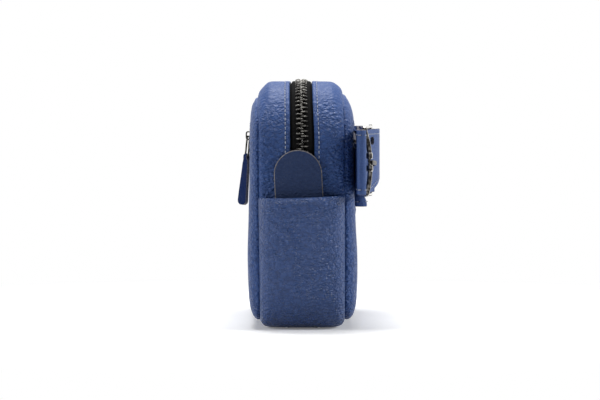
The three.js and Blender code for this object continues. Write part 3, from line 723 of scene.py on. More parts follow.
def gussetLift(spot, across, along):
    # gentle unevenness, a soft hem beside the zip and a sunk line under the stitches
    g = gusset
    a = abs(across)
    calm = clamp((a - g["calmFrom"]) / g["calmOver"], 0.15)
    lift = g["unevenness"] * calm * waver(spot, g["unevenSize"])
    lift += g["ripple"] * calm * waver(spot, g["rippleSize"], 4)
    lift += g["hem"] * ridge(a, (g["slotHalf"] + g["stitchLine"]) / 2, g["hemWidth"])
    lift -= g["groove"] * ridge(a, g["stitchLine"], g["grooveWidth"])
    edge = clamp((a - g["puckerFrom"]) / g["puckerOver"])
    lift += g["pucker"] * edge * waver(Vector((along, 0, across)), g["puckerSize"], 9)
    lift += g["swell"] * ridge(a, g["swellAt"], g["swellWidth"])
    lift -= g["crown"] * clamp((a - g["crownFrom"]) / g["crownOver"]) ** 2
    return lift


def gussetSpot(along, across):
    point, out = outlinePoint(along)
    place, drop, lean = crownPoint(across)
    spot = point + Vector((0, place, 0)) - out * drop
    normal = out * math.cos(lean) + Vector((0, math.sin(lean), 0))
    return spot + normal * gussetLift(spot, across, along), normal


def gussetStrip(name, start, end, places, bulge, node):
    rows = []
    for along in spread(start, end, round(abs(end - start) / gusset["step"]) + 1):
        rows.append([gussetSpot(along, a) for a in places])
    looks = ("body", "body", "lining")
    sheetPiece(name, rows, bag["hide"] - 0.1, bulge, looks, node=node, sharp=70, lean=True)


def makeGussets():
    edge = bag["flat"] + bag["roll"] * gusset["reach"]
    gap = gusset["meetGap"]
    reach = bag["height"] - bag["topCorner"] - gusset["baseMeet"] - gap
    # closely spaced places over the hem and the stitches, wider ones out to the seam
    hem = spread(gusset["slotHalf"] + 0.4, gusset["hemEnd"], 9)
    wide = spread(gusset["hemEnd"] + 1.2, edge, 18)
    for side, name in ((-1, "front"), (1, "back")):
        places = [side * a for a in hem + wide]
        node = "zip_gusset_" + name
        end = topRun + reach
        gussetStrip("zipGusset_" + name, -reach, end, places, gusset["topRim"], node)
    places = spread(-edge, edge, 46)
    end = -(wholeOutline - topRun - reach - gap)
    gussetStrip("baseGusset", -reach - gap, end, places, gusset["baseRim"], "base_gusset")


makeGussets()
print("belt bag: gusset strips made")

panelLook = {
    "start": bag["seam"] - 0.55,
    "seamInset": 5.7,
    "shoulder": 17,
    "shoulderPower": 1.65,
    "sink": 3,  # the face's middle sags by this much
    "pucker": 0.5,
    "puckerAt": 0.16,  # as a share of the shoulder
    "puckerWidth": 0.2,
    "puckerSize": 4.2,
    "straightPucker": 0.45,  # weaker away from the corners
    "slow": 0.35,
    "slowSize": 24,
    "slowShift": 0.2,
    "bellyHeight": 44,
    "bellySpan": 30,
    "browHeight": 142,
    "browSpan": 15,
    "seamRoll": 0.5,
    "seamRollAt": 0.02,
    "seamRollWidth": 0.03,
    "insideInset": 0.6,
    "insideShare": 0.8,  # how much of its depth the inside face also draws in
    "turnedDepth": 0.9,
    "turnedInsets": [7.4, 6.4],  # the edge that is turned in at the seam
    "insets": [5.75, 5.9, 6.3, 7, 8.2, 10, 12.4, 15, 18.5, 22.7, 28, 35, 44, 54, 64, 73],
}
# bulge, lean, how much further the panel stands out low down and near its top
panelSides = {
    -1: {"bulge": 6.5, "lean": 1, "belly": 1.7, "brow": -0.5},
    1: {"bulge": 6.9, "lean": 2.2, "belly": 1.3, "brow": 1.1},
}


def outlineStations(perCorner, perSide, perBase):
    stations = []
    for index in range(4):
        stations += [(2 * index, i / perCorner) for i in range(perCorner)]
        runs = perBase if index % 2 == 0 else perSide
        stations += [(2 * index + 1, i / runs) for i in range(runs)]
    return stations


def panelSpot(station, inset, side, level=0.0):
    # level is how far under the outer face the point lies
    p, own = panelLook, panelSides[side]
    point, _ = stationPoint(station, inset + level * p["insideShare"])
    q = max(0, (inset - p["seamInset"]) / p["shoulder"])
    share = 1 - (1 - min(1, math.sqrt(q))) ** p["shoulderPower"]
    out = p["start"] + share * own["bulge"] - level
    out += share * own["lean"] * (0.5 - point.z / bag["height"])
    point.z -= p["sink"] * share
    cornered = 1 if station[0] % 2 == 0 else p["straightPucker"]
    near = ridge(q, p["puckerAt"], p["puckerWidth"])
    fold = waver(Vector((point.x, 0, point.z)), p["puckerSize"], side * 3) * near * cornered
    slow = p["slow"] * share * (waver(point, p["slowSize"], side * 2) - p["slowShift"])
    slow += own["belly"] * share * ridge(point.z, p["bellyHeight"], p["bellySpan"])
    slow += own["brow"] * share * ridge(point.z, p["browHeight"], p["browSpan"])
    roll = p["seamRoll"] * ridge(q, p["seamRollAt"], p["seamRollWidth"])
    point.y = side * (out + p["pucker"] * fold + slow + roll)
    return point


def makePanel(name, side, node):
    stations = outlineStations(22, 44, 64)
    insets = panelLook["insets"]
    turnedIn = Vector((0, side * (bag["seam"] - panelLook["turnedDepth"]), 0))
    rings = []
    for inset in panelLook["turnedInsets"]:
        rings.append([stationPoint(s, inset)[0] + turnedIn for s in stations])
    rings += [[panelSpot(s, inset, side) for s in stations] for inset in insets]
    lastOuter = len(rings) - 1
    for inset in reversed(insets[1:]):
        inside = inset + panelLook["insideInset"]
        rings.append([panelSpot(s, inside, side, bag["hide"]) for s in stations])
    count = len(stations)
    faces, slots = [], []
    for i in range(len(rings)):
        a, b = i * count, (i + 1) % len(rings) * count
        if i == lastOuter:
            faces += [capFace(a, count), capFace(b, count, True)]
            slots += [0, 1]
        else:
            faces += ringFaces(a, b, count)
            slots += [0 if i < lastOuter else 1] * count
    points = [p for ring in rings for p in ring]
    looks = ("body", "lining")
    return makePiece(name, points, faces, looks, slots, node=node, sharp=75, lean=True)


frontPanel = makePanel("frontPanel", -1, "front_panel")
backPanel = makePanel("backPanel", 1, "back_panel")
print("belt bag: panels made")

pocketLook = {
    "mouth": cadBox("near_slip_pocket")[1].z,
    "turn": 60,  # degrees round the bottom corner
    "reach": 1.1,  # how much of the gusset's roll it covers
    "hide": 1.8,
    "gap": 0.3,
    "slack": 8,
    "slackPower": 1.05,
    "lip": 1.3,  # rolled mouth
    "lipAt": 2.6,
    "lipWidth": 2.2,
    "lumps": 0.6,
    "lumpSize": 2.6,
    "crease": 1.1,  # slanting creases
    "creaseAt": 26,
    "creaseSpan": 30,
    "creaseSide": 6,
    "creaseFade": 14,
    "creaseSlant": 0.75,
    "creaseTurn": 0.6,
    "creaseLeast": 0.25,
    "creaseLong": 14,
    "creaseShort": 3.6,
    "slow": 0.3,
    "slowSize": 15,
    "raised": 1.7,
    "raisedOver": 16,
    "mouthSlope": 0.03,
    "mouthDip": 0.5,
    "mouthOver": 12,
    "tuck": 0.998,  # just inside the seams
    "rim": 0.95,
}
belowCorner = bag["bottomCorner"] * math.radians(pocketLook["turn"])
pocketLength = pocketLook["mouth"] - bag["bottomCorner"] + belowCorner


def pocketSpot(side, down, across):
    # down is the distance below the mouth, across the distance from the middle
    p = pocketLook
    topAt = bag["height"] - bag["topCorner"] - p["mouth"]
    point, out = outlinePoint(-(topAt + down))
    place, drop, lean = crownPoint(across)
    q = min(1, down / pocketLength)
    openness = 1 - (abs(place) / bag["seam"]) ** 4
    lift = p["gap"] + p["hide"] + p["slack"] * (1 - q) ** p["slackPower"] * openness
    lumps = 1 + p["lumps"] * waver(Vector((across, 0, side * 3)), p["lumpSize"])
    lift += p["lip"] * lumps * openness * ridge(down, p["lipAt"], p["lipWidth"])
    alongCrease = (across + p["creaseSlant"] * down) / p["creaseLong"]
    overCrease = (down - p["creaseTurn"] * across) / p["creaseShort"]
    slanted = Vector((alongCrease, overCrease, side * 5))
    region = max(0, 1 - abs(down - p["creaseAt"]) / p["creaseSpan"])
    region = region * clamp((p["creaseSide"] - across) / p["creaseFade"]) + p["creaseLeast"]
    lift += p["crease"] * region * noise.noise(slanted) * openness
    lift += p["slow"] * waver(Vector((0, across, down)), p["slowSize"], side * 7) * openness
    spot = point + Vector((0, place * p["tuck"], 0)) + out * (lift - drop)
    normal = out * math.cos(lean) + Vector((0, math.sin(lean), 0))
    # the mouth rises a little towards the back, and dips in its middle
    spot.z += p["raised"] * max(0, 1 - down / p["raisedOver"])
    rise = p["mouthSlope"] * place - p["mouthDip"] * (1 - (place / bag["seam"]) ** 2)
    spot.z += rise * max(0, 1 - down / p["mouthOver"])
    if side < 0:
        spot.x, normal.x = -spot.x, -normal.x
    return spot, normal


def makePocket(name, side, node):
    downs = spread(0, 6, 8) + spread(7.2, pocketLength, 60)
    edge = bag["flat"] + bag["roll"] * pocketLook["reach"]
    rows = [[pocketSpot(side, d, a) for d in downs] for a in spread(-edge, edge, 58)]
    looks = ("pocket", "pocket", "lining")
    hide, rim = pocketLook["hide"], pocketLook["rim"]
    sheetPiece(name, rows, hide, rim, looks, node=node, sharp=80, lean=True)


makePocket("nearSlipPocket", 1, "near_slip_pocket")
makePocket("farSlipPocket", -1, "far_slip_pocket")
print("belt bag: slip pockets made")


def insetLoop(loop, amount):
    made = []
    for i, point in enumerate(loop):
        before, after = loop[i - 1], loop[(i + 1) % len(loop)]
        first = (point - before).normalized()
        second = (after - point).normalized()
        first, second = Vector((-first.y, first.x)), Vector((-second.y, second.x))
        inward = (first + second).normalized()
        made.append(point + inward * amount / max(0.5, inward.dot(first)))
    return made


def cutSheet(name, outline, thick, place, rim, looks, inner, swell=None, **more):
    # a flat cut piece with rounded rims: outline runs anticlockwise, place(a, b, c) puts a
    # point of the sheet, c above its back, and inner gives rings further in on its face
    # how far in and how high each ring lies, from the back over the rim to the face
    levels = [(rim, 0), (0.35 * rim, 0), (0, 0.25 * thick), (0, 0.62 * thick)]
    levels += [(0.3 * rim, 0.9 * thick), (rim, thick)]
    rimLevels = len(levels) - 1
    levels += [(rim + d, thick) for d in inner]
    count = len(outline)
    points, faces, slots = [], [], []
    for inset, height in levels:
        for p in insetLoop(outline, inset):
            extra = swell(p.x, p.y) if swell and height == thick else 0
            points.append(place(p.x, p.y, height + extra))
    for i in range(len(levels) - 1):
        faces += ringFaces(i * count, (i + 1) * count, count, True)
        slots += [1 if i < rimLevels else 0] * count
    faces += [capFace(0, count, True), capFace(len(points) - count, count)]
    return makePiece(name, points, faces, looks, slots + [2, 0], **more)


def arcPoints(cx, cy, radius, start, end, count):
    turns = [math.radians(t) for t in spread(start, end, count)]
    return [Vector((cx + radius * math.cos(t), cy + radius * math.sin(t))) for t in turns]


tabLook = {
    "width": 31,
    "top": 116,
    "foot": 71,
    "footShare": 0.96,  # narrower there
    "offset": -1.9,
    "tilt": 3,
    "thick": 1.7,
    "rim": 0.6,
    "stand": 0.3,
    "swell": 0.16,
    "swellSize": 9,
    "inner": (1.2, 3, 5.5, 8.5, 12),
}


def makeTab(name, side, node):
    t = tabLook
    half = t["width"] / 2
    middle = (t["top"] + t["foot"]) / 2
    foot, shoulder = half * t["footShare"], t["top"] - 2 * half
    outline = [Vector((foot, t["foot"])), Vector((half, shoulder))]
    outline += arcPoints(0, t["top"] - half, half, 0, 180, 40)
    outline += [Vector((-half, shoulder)), Vector((-foot, t["foot"]))]
    tilt = Matrix.Rotation(math.radians(t["tilt"]), 2)

    def place(a, b, c):
        spun = tilt @ Vector((a, b - middle))
        x = bag["half"] + t["stand"] + c
        return Vector((side * x, spun.x + t["offset"], spun.y + middle))

    def swell(a, b):
        return t["swell"] * waver(Vector((a, b, side)), t["swellSize"], 5)

    looks = ("tab", "edge", "tab")
    more = {"inner": t["inner"], "swell": swell, "node": node, "sharp": 35}
    cutSheet(name, outline, t["thick"], place, t["rim"], looks, **more)


makeTab("nearEndTab", 1, "near_end_tab")
makeTab("farEndTab", -1, "far_end_tab")

mainZip = {
    "pitch": 3.25,
    "chain": 8,
    "height": 3.7,
    "proud": 1.6,
    "chainEnd": 1.4,
    "hidden": 2,  # teeth that run on behind each tab
    "sunk": 2.2,  # how far the chain drops there
    "tapeHeld": 13.5,
    "tapePast": 36,
    "tapeThick": 0.7,
    "tapeLevel": 0.35,
    "tapeBend": 5.4,  # where the tape starts to dip under the leather
    "tapeDeep": 2.3,
    "bendOver": 2.2,
    "edgeDip": 1.5,
    "edgeOver": 1.2,
    "rib": 0.28,  # woven rib beside the teeth
    "ribAt": 3,
    "ribWidth": 0.5,
    "endDip": 1.4,
    "endDipTo": 7.5,
}
frontZip = {
    "pitch": 3.2,
    "chain": 6,
    "height": 2.6,
    "centre": 124.5,
    "length": 150,
    "short": 6,  # how much shorter the teeth's run is than the slot
    "slot": 11,
    "face": -cadBox("front_tape_upper")[0].y,
    "chainSunk": 0.35,
    "tapePast": 3.8,
    "tapeFrom": 2.4,
    "tapeTo": 8.4,
    "tapeThick": 0.68,
    "tapeLevel": 0.33,
    "rib": 0.2,
    "ribAt": 2.8,
    "ribWidth": 0.4,
}
# one tooth, from its foot on the tape to its head: place across, half length, half height
toothSections = [
    (1.0, 0.2, 0.36),
    (0.97, 0.3, 0.6),
    (0.8, 0.34, 0.84),
    (0.5, 0.36, 1.0),
    (0.3, 0.36, 0.96),
    (0.17, 0.26, 0.8),
    (0.03, 0.4, 0.84),
    (-0.14, 0.38, 0.76),
    (-0.24, 0.2, 0.5),
]
toothRing = 10


def rounded(wide, high, count=12, power=0.75):
    # a section between a rectangle and an oval: the lower the power, the squarer
    ring = []
    for j in range(count):
        turn = 2 * math.pi * (j + 0.5) / count
        a, b = math.cos(turn), math.sin(turn)
        a = math.copysign(abs(a) ** power, a) * wide
        ring.append((a, math.copysign(abs(b) ** power, b) * high))
    return ring


def zipTeeth(name, frameAt, zipper, start, count, side, node):
    points, faces = [], []
    last = len(toothSections) - 1
    for i in range(count):
        centre, along, across, out = frameAt(start + i * zipper["pitch"])
        base = len(points)
        for place, length, height in toothSections:
            middle = centre + across * side * place * zipper["chain"] / 2
            long, tall = length * zipper["pitch"] / 2, height * zipper["height"] / 2
            points += [middle + along * a + out * b for a, b in rounded(long, tall, toothRing, 0.6)]
        for k in range(last):
            a = base + k * toothRing
            faces += ringFaces(a, a + toothRing, toothRing, True)
        faces += [capFace(base, toothRing, True), capFace(base + last * toothRing, toothRing)]
    more = {"node": node, "slot": "zip_metal", "sharp": 60, "lean": True}
    return makePiece(name, points, faces, ("zip",), **more)


def topFrame(distance):
    # middle of the chain over the top, its direction, the way across it and the way out
    along = distance - mainZip["chainEnd"]
    point, out = outlinePoint(along)
    below = max(-along, along - topRun) - mainZip["chainEnd"]
    lift = mainZip["proud"] - mainZip["height"] / 2 - mainZip["sunk"] * smoothStep(below / 3)
    return point + out * lift, Vector((-out.z, 0, out.x)), Vector((0, 1, 0)), out


frontChain = frontZip["chainSunk"] - frontZip["face"]  # depth of the front chain's middle


def frontFrame(distance):
    spot = Vector((distance, frontChain, frontZip["centre"]))
    return spot, Vector((1, 0, 0)), Vector((0, 0, 1)), Vector((0, -1, 0))


def makeTape(name, zipper, frameAt, distances, places, side, node):
    # places(distance) gives how far across and how far out each thread of the tape lies
    rows = []
    for distance in distances:
        centre, _, across, out = frameAt(distance)
        rows.append([(centre + across * side * a + out * n, out) for a, n in places(distance)])
    more = {"node": node, "slot": "zip_tape", "lean": frameAt is topFrame}
    sheetPiece(name, rows, zipper["tapeThick"], 0.1, ("tape",) * 3, **more)


def makeMainZip():
    z = mainZip
    length = topRun + 2 * z["chainEnd"]
    count = int(length / z["pitch"]) + 2 * z["hidden"] - 1
    level = z["tapeLevel"]
    deep = -z["tapeDeep"] - (z["proud"] - z["height"] / 2)

    def places(distance):
        past = smoothStep(max(-distance, distance - length) / 3 - 0.4)
        row = []
        for a in spread(0.3, z["tapeHeld"], 24):
            n = level + (deep - level) * smoothStep((a - z["tapeBend"]) / z["bendOver"])
            # the edge dips under the teeth
            n -= z["edgeDip"] * (1 - smoothStep((a - z["edgeOver"]) / z["edgeOver"]))
            n += z["rib"] * ridge(a, z["ribAt"], z["ribWidth"])
            n -= z["endDip"] * past * (a < z["endDipTo"])
            row.append((a, n))
        return row

    distances = spread(-z["tapePast"], length + z["tapePast"], 230)
    for side, name in ((-1, "front"), (1, "back")):
        start = z["pitch"] * ((0.5 if side > 0 else 1) - z["hidden"])
        zipTeeth("zipTeeth_" + name, topFrame, z, start, count, side, "main_teeth_" + name)
        node = "main_tape_" + name
        makeTape("zipTape_" + name, z, topFrame, distances, places, side, node)


def makeFrontZip():
    z = frontZip
    usable = z["length"] - z["short"]
    count = int(usable / z["pitch"])

    def places(_):
        row = []
        for a in spread(z["tapeFrom"], z["tapeTo"], 14):
            row.append((a, z["tapeLevel"] + z["rib"] * ridge(a, z["ribAt"], z["ribWidth"])))
        return row

    distances = spread(-z["length"] / 2 - z["tapePast"], z["length"] / 2 + z["tapePast"], 120)
    for side, name in ((-1, "lower"), (1, "upper")):
        start = -usable / 2 + (z["pitch"] / 2 if side > 0 else 0)
        zipTeeth("frontTeeth_" + name, frontFrame, z, start, count, side, "front_teeth_" + name)
        node = "front_tape_" + name
        makeTape("frontTape_" + name, z, frontFrame, distances, places, side, node)


makeMainZip()
makeFrontZip()


# swept bars, rings and bands
def sweptBar(path, sections, upright, closed=False):
    # carries a section of (sideways, upright) offsets along a path and closes its ends
    count = len(path)
    points, faces = [], []
    normal = upright
    for i, spot in enumerate(path):
        before = path[i - 1] if closed or i else path[0]
        after = path[(i + 1) % count] if closed or i < count - 1 else path[-1]
        along = (after - before).normalized()
        normal = (normal - along * normal.dot(along)).normalized()
        sideways = normal.cross(along)
        section = sections(i / max(1, count - 1)) if callable(sections) else sections
        points += [spot + sideways * a + normal * b for a, b in section]
    ring = len(points) // count
    for i in range(count if closed else count - 1):
        faces += ringFaces(i * ring, (i + 1) % count * ring, ring, True)
    if not closed:
        faces += [capFace(0, ring, True), capFace(len(points) - ring, ring)]
    return points, faces


def curveRun(*marks, count=8):
    # marks are a start, then a control point and an end for each curve
    spots = [Vector(marks[0])]
    for i in range(0, len(marks) - 2, 2):
        start, middle, end = (Vector(m) for m in marks[i : i + 3])
        for step in range(1, count + 1):
            t = step / count
            spots.append(start * (1 - t) ** 2 + middle * 2 * t * (1 - t) + end * t * t)
    return spots


# stitches: a sunk thread between two needle holes, over and over; each hole is a small dark dome of
# painted shade
stitchSteps = (-1, -0.8, -0.4, 0, 0.4, 0.8, 1)
needleRings = ((0.3, 0.0), (0.85, -0.03), (1.0, -0.12))  # share of the radius, height
needleSides = 6
needleFlat = 0.85  # a hole is a little narrower across the row
needlePast = 0.12  # how far past the thread's end it lies


# a small dark dome over a needle hole, painted shade where the hole lies
def needleHoleShade(middle, along, side, normal, radius):
    points = []
    for share, height in needleRings:
        for j in range(needleSides):
            turn = 2 * math.pi * j / needleSides
            spot = along * math.cos(turn) + side * math.sin(turn) * needleFlat
            points.append(middle + spot * radius * share + normal * height)
    faces = [capFace(0, needleSides)]
    for start in (0, needleSides):
        faces += ringFaces(start, start + needleSides, needleSides)
    return points, faces


def stitchRow(name, spots, look, slot="bag_leather", lean=False):
    # spots holds the middle, the direction and the outward normal of each stitch
    threads, holes = [], []
    half = look["length"] / 2
    section = rounded(look["thread"], look["thread"] * 0.8, 6, 1)
    for centre, along, normal in spots:
        path = []
        for t in stitchSteps:
            rise = look["rise"] * (1 - abs(t) ** 3) - look["sink"]
            path.append(centre + along * half * t + normal * rise)
        threads.append(sweptBar(path, section, normal))
        side = normal.cross(along)
        for end in (-1, 1):
            middle = centre + along * (half + needlePast) * end + normal * 0.05
            holes.append(needleHoleShade(middle, along, side, normal, look["hole"]))
    points, faces = merged(threads + holes)
    threadFaces = sum(len(f) for _, f in threads)
    slots = [0] * threadFaces + [1] * (len(faces) - threadFaces)
    makePiece(name, points, faces, ("thread", "hole"), slots, slot=slot, sharp=80, lean=lean)


def surfaceOf(piece):
    # for finding places on a piece, in millimetres
    mesh = piece.data
    spots = [v.co / mm for v in mesh.vertices]
    return BVHTree.FromPolygons(spots, [p.vertices for p in mesh.polygons])


def punched(piece, cutters):
    # takes the cutters out of the piece and keeps the cut faces' own finish
    for cutter in cutters:
        modifier = piece.modifiers.new("cut", "BOOLEAN")
        modifier.operation = "DIFFERENCE"
        modifier.solver = "EXACT"
        modifier.object = cutter
        modifier.material_mode = "TRANSFER"
    graph = bpy.context.evaluated_depsgraph_get()
    mesh = bpy.data.meshes.new_from_object(piece.evaluated_get(graph))
    piece.modifiers.clear()
    old = piece.data
    piece.data = mesh
    bpy.data.meshes.remove(old)
    mesh.set_sharp_from_angle(angle=math.radians(50))
    for cutter in cutters:
        bpy.data.objects.remove(cutter)


def ovalPoints(length, height, radius, count):
    reach = (length - height) / 2
    outline = arcPoints(reach, 0, radius, -90, 90, count)
    return outline + arcPoints(-reach, 0, radius, 90, 270, count)


def ovalCutter(centre, along, out, size, depth, look="strapEdge"):
    length, height = size
    up = out.cross(along)
    outline = ovalPoints(length, height, height / 2, 16)
    points, count = [], len(outline)
    for level in (-depth, depth):
        points += [centre + along * p.x + up * p.y + out * level for p in outline]
    faces = [capFace(0, count, True), capFace(count, count)] + ringFaces(0, count, count, True)
    mesh = meshFrom("cutter", points, faces)
    mesh.materials.append(finishes[look])
    return addObject("cutter", mesh)


slotStitch = {"pitch": 3.12, "length": 2.1, "thread": 0.28, "rise": 0.16, "sink": 0.18, "hole": 0.5}
slotStitch["edge"] = 2.6  # from the slot's rim


def makeFrontSlot():
    # opens the front panel over its zip and sews round the opening
    tree = surfaceOf(frontPanel)
    centre = Vector((0, -frontZip["face"], frontZip["centre"]))
    length, height = frontZip["length"], frontZip["slot"]
    route = ovalPoints(length, height, height / 2 + slotStitch["edge"], 60)
    spots = []
    toNext = 0.0
    for i, p in enumerate(route):
        after = route[(i + 1) % len(route)]
        run = (after - p).length
        while toNext <= run:
            middle = p.lerp(after, toNext / run)
            ahead = (after - p).normalized()
            found = []
            for place in (middle, middle + ahead * 0.5):
                start = centre + Vector((place.x, -20, place.y))
                found.append(tree.ray_cast(start, Vector((0, 1, 0)))[:2])
            spots.append((found[0][0], (found[1][0] - found[0][0]).normalized(), found[0][1]))
            toNext += slotStitch["pitch"]
        toNext -= run
    along, out = Vector((1, 0, 0)), Vector((0, -1, 0))
    punched(frontPanel, [ovalCutter(centre, along, out, (length, height), 6, "body")])
    stitchRow("frontSlotStitches", spots, slotStitch)


makeFrontSlot()
print("belt bag: zips made")

gussetStitch = dict(slotStitch, length=1.75, thread=0.34, rise=0.42, sink=0.16, hole=0.74)
gussetStitch["past"] = 30  # how far the rows run on down each end


def makeGussetStitches():
    past = gussetStitch["past"]
    for side, name in ((-1, "front"), (1, "back")):
        spots = []
        across = side * gusset["stitchLine"]
        for i in range(int((topRun + 2 * past) / gussetStitch["pitch"])):
            along = -past + (i + 0.5) * gussetStitch["pitch"]
            spot, normal = gussetSpot(along, across)
            ahead, _ = gussetSpot(along + 0.5, across)
            direction = (ahead - spot).normalized()
            # no two stitches lie quite alike
            direction = (direction + Vector((0, 0.05 * math.sin(i * 2.3), 0))).normalized()
            spots.append((spot, direction, normal))
        stitchRow("gussetStitches_" + name, spots, gussetStitch, lean=True)


makeGussetStitches()
print("belt bag: gusset stitches made")


def turned(degrees, axis):
    return Matrix.Rotation(math.radians(degrees), 4, axis)


# sliders, with a bridge that holds the pull's link
sliderLook = {
    "share": 1.55,  # length over the chain's width
    "wall": 1.1,
    "flare": 0.8,
    "nose": 1.5,
    "cap": 1.2,
    "capRim": 0.42,
    "capSwell": 0.12,
    "gap": 0.5,
    "bridgeWidth": 2.2,
    "bridgeWall": 1,
    "bridgeSunk": 0.4,
    "bridgeRoom": 0.6,  # over the link's wire
    "skirtLap": 0.4,
    "wire": 1.2,
    "wireRest": (0.3, 0.9),  # where the wire hangs, from the bridge's wall and over the cap
}


def makeSlider(prefix, zipper, skirt, frameHere, swing):
    # returns the place and direction in which the pull's link hangs
    look = sliderLook
    gap, wall, wire, bridge = look["gap"], look["wall"], look["wire"], look["bridgeWall"]
    end = zipper["chain"] * look["share"] / 2
    half = zipper["chain"] / 2 + gap
    wide = half + look["flare"] + wall
    nose = end - look["nose"]
    lower = [(-end, -half), (0, -half), (nose, -wide), (end + 1, -half), (end, 0)]
    upper = [(end + 1, half), (nose, wide), (0, half), (-end, half)]
    node = prefix + "_slider"
    more = {"node": node, "body": node, "slot": "zip_metal", "sharp": 50}

    def addSheet(name, outline, thick, start, rim, **shape):
        def place(a, b, c):
            return frameHere @ Vector((a, b, start + c))

        cutSheet(prefix + name, outline, thick, place, rim, ("zip",) * 3, **shape, **more)

    swell = look["capSwell"]
    shape = {"inner": (0.9, 1.7), "swell": lambda a, b: swell}
    addSheet("SliderCap", curveRun(*lower, *upper), look["cap"], gap, look["capRim"], **shape)
    inside = half - wall * 0.4
    flank = [(-end, -half), (0, -half), (nose, -wide), (nose, wall - wide)]
    flank = curveRun(*flank, (nose - wall, wall - wide), (0, -inside), (-end, -inside))
    mirrored = [Vector((p.x, -p.y)) for p in reversed(flank)]
    for name, side in (("SliderNear", flank), ("SliderFar", mirrored)):
        addSheet(name, side, skirt, gap + look["skirtLap"] - skirt, 0.12, inner=(0.16,))

    base = gap + look["cap"]
    reach = zipper["chain"] / 2
    rise = wire + look["bridgeRoom"] + bridge
    top = base + rise - bridge / 2
    side = reach - bridge / 2
    knee, foot, flat = base + rise * 0.4, base - look["bridgeSunk"], reach * 0.35
    arch = [(-side, foot), (-side, base + 0.2), (-side, knee), (-side, top), (-flat, top)]
    arch += [(0, top + 0.1)] + [(-x, z) for x, z in reversed(arch)]
    swivel = frameHere @ turned(swing, "Z")
    path = [swivel @ Vector((p.x, 0, p.y)) for p in curveRun(*arch, count=5)]
    across = (swivel.to_3x3() @ Vector((0, 1, 0))).normalized()
    section = rounded(bridge / 2, look["bridgeWidth"] / 2, 12, 0.6)
    makePiece(prefix + "SliderBridge", *sweptBar(path, section, across), ("zip",), **more)
    aside, over = look["wireRest"]
    return swivel @ Matrix.Translation((-reach + bridge + aside + wire, 0, base + over))


pullLook = {
    "link": 13,
    "top": 4.6,
    "foot": 11,
    "length": 31,
    "round": 3.4,  # radius of the foot's corners
    "neck": 1.68,  # half width where it passes through the link
    "neckRun": 4,
    "thick": 0.95,
    "pressed": 0.06,  # how far each layer lies from the middle
    "eye": 3.2,  # length of the fold round the link
    "past": 0.9,  # what the leather's foot adds to its length
    "linkTwist": 0.8,  # the link turns less than its leather
    "rim": 0.12,
    "unevenness": 0.1,
    "unevenSize": 6,
    "swell": 0.12,
}


def makePull(prefix, hinge, twist):
    look = pullLook
    link, wire = look["link"], sliderLook["wire"] / 2
    foot = -link - look["length"] - look["past"]
    # the link is a long loop of wire, slightly wider at its foot
    ring = [(0, 1.2), (0, 2), (-1, 2.05), (-6, 2.25), (2 - link, 2.4), (-link, 2.4), (-link, 0.9)]
    ring = [(0, -1.2), (0, 0)] + ring + [(-link, 0)] + [(x, -y) for x, y in reversed(ring)]
    ringFrame = hinge @ turned(twist * look["linkTwist"], "X")
    path = [ringFrame @ Vector((p.x, p.y, 0)) for p in curveRun(*ring, count=5)[:-1]]
    upright = ringFrame.to_3x3() @ Vector((0, 0, 1))
    wireBar = sweptBar(path, rounded(wire, wire, 10, 0.85), upright, closed=True)
    more = {"body": prefix + "_pull", "node": prefix + "_pull_link"}
    makePiece(prefix + "PullLink", *wireBar, ("zip",), slot="zip_metal", **more)

    # the leather: one tongue folded round the link's foot, its two layers pressed together
    pressed, bend, eye = look["pressed"], wire + 0.08, -link - look["eye"]
    upper = [(x, pressed, math.pi / 2) for x in spread(foot, eye, 26)]
    for t in spread(0.1, 0.9, 6):
        lift = pressed + (bend - pressed) * smoothStep(t)
        upper.append((eye + look["eye"] * t, lift, math.pi / 2))
    route = list(upper)
    for degrees in spread(90, -90, 13):
        turn = math.radians(degrees)
        route.append((-link + bend * math.cos(turn), bend * math.sin(turn), turn))
    route += [(x, -lift, -turn) for x, lift, turn in reversed(upper)]

    def halfWide(x):
        top, low, radius = look["top"] / 2, look["foot"] / 2, look["round"]
        share = (x + link) / (foot + link)
        wide = top + (low - top) * share ** 0.8 if share > 0 else top
        wide = look["neck"] + (wide - look["neck"]) * smoothStep((-link - x) / look["neckRun"])
        near = x - foot
        if near < radius:
            wide -= radius - math.sqrt(max(0, radius * radius - (radius - near) ** 2))
        return max(0.6, wide)

    twisted = hinge @ turned(twist, "X")
    spin = twisted.to_3x3()
    rows = []
    for x, lift, turn in route:
        wide = halfWide(x)
        normal = Vector((math.cos(turn), 0, math.sin(turn)))
        row = []
        for b in spread(-wide, wide, 9):
            swell = look["unevenness"] * waver(Vector((x, b, lift * 9)), look["unevenSize"])
            swell += look["swell"] * (1 - (b / wide) ** 2)
            spot = Vector((x, b, lift)) + normal * (look["thick"] + swell)
            row.append((twisted @ spot, spin @ normal))
        rows.append(row)
    more["node"] = prefix + "_pull_leather"
    looks = ("pull", "edge", "pull")
    sheetPiece(prefix + "PullLeather", rows, look["thick"], look["rim"], looks, sharp=60, **more)


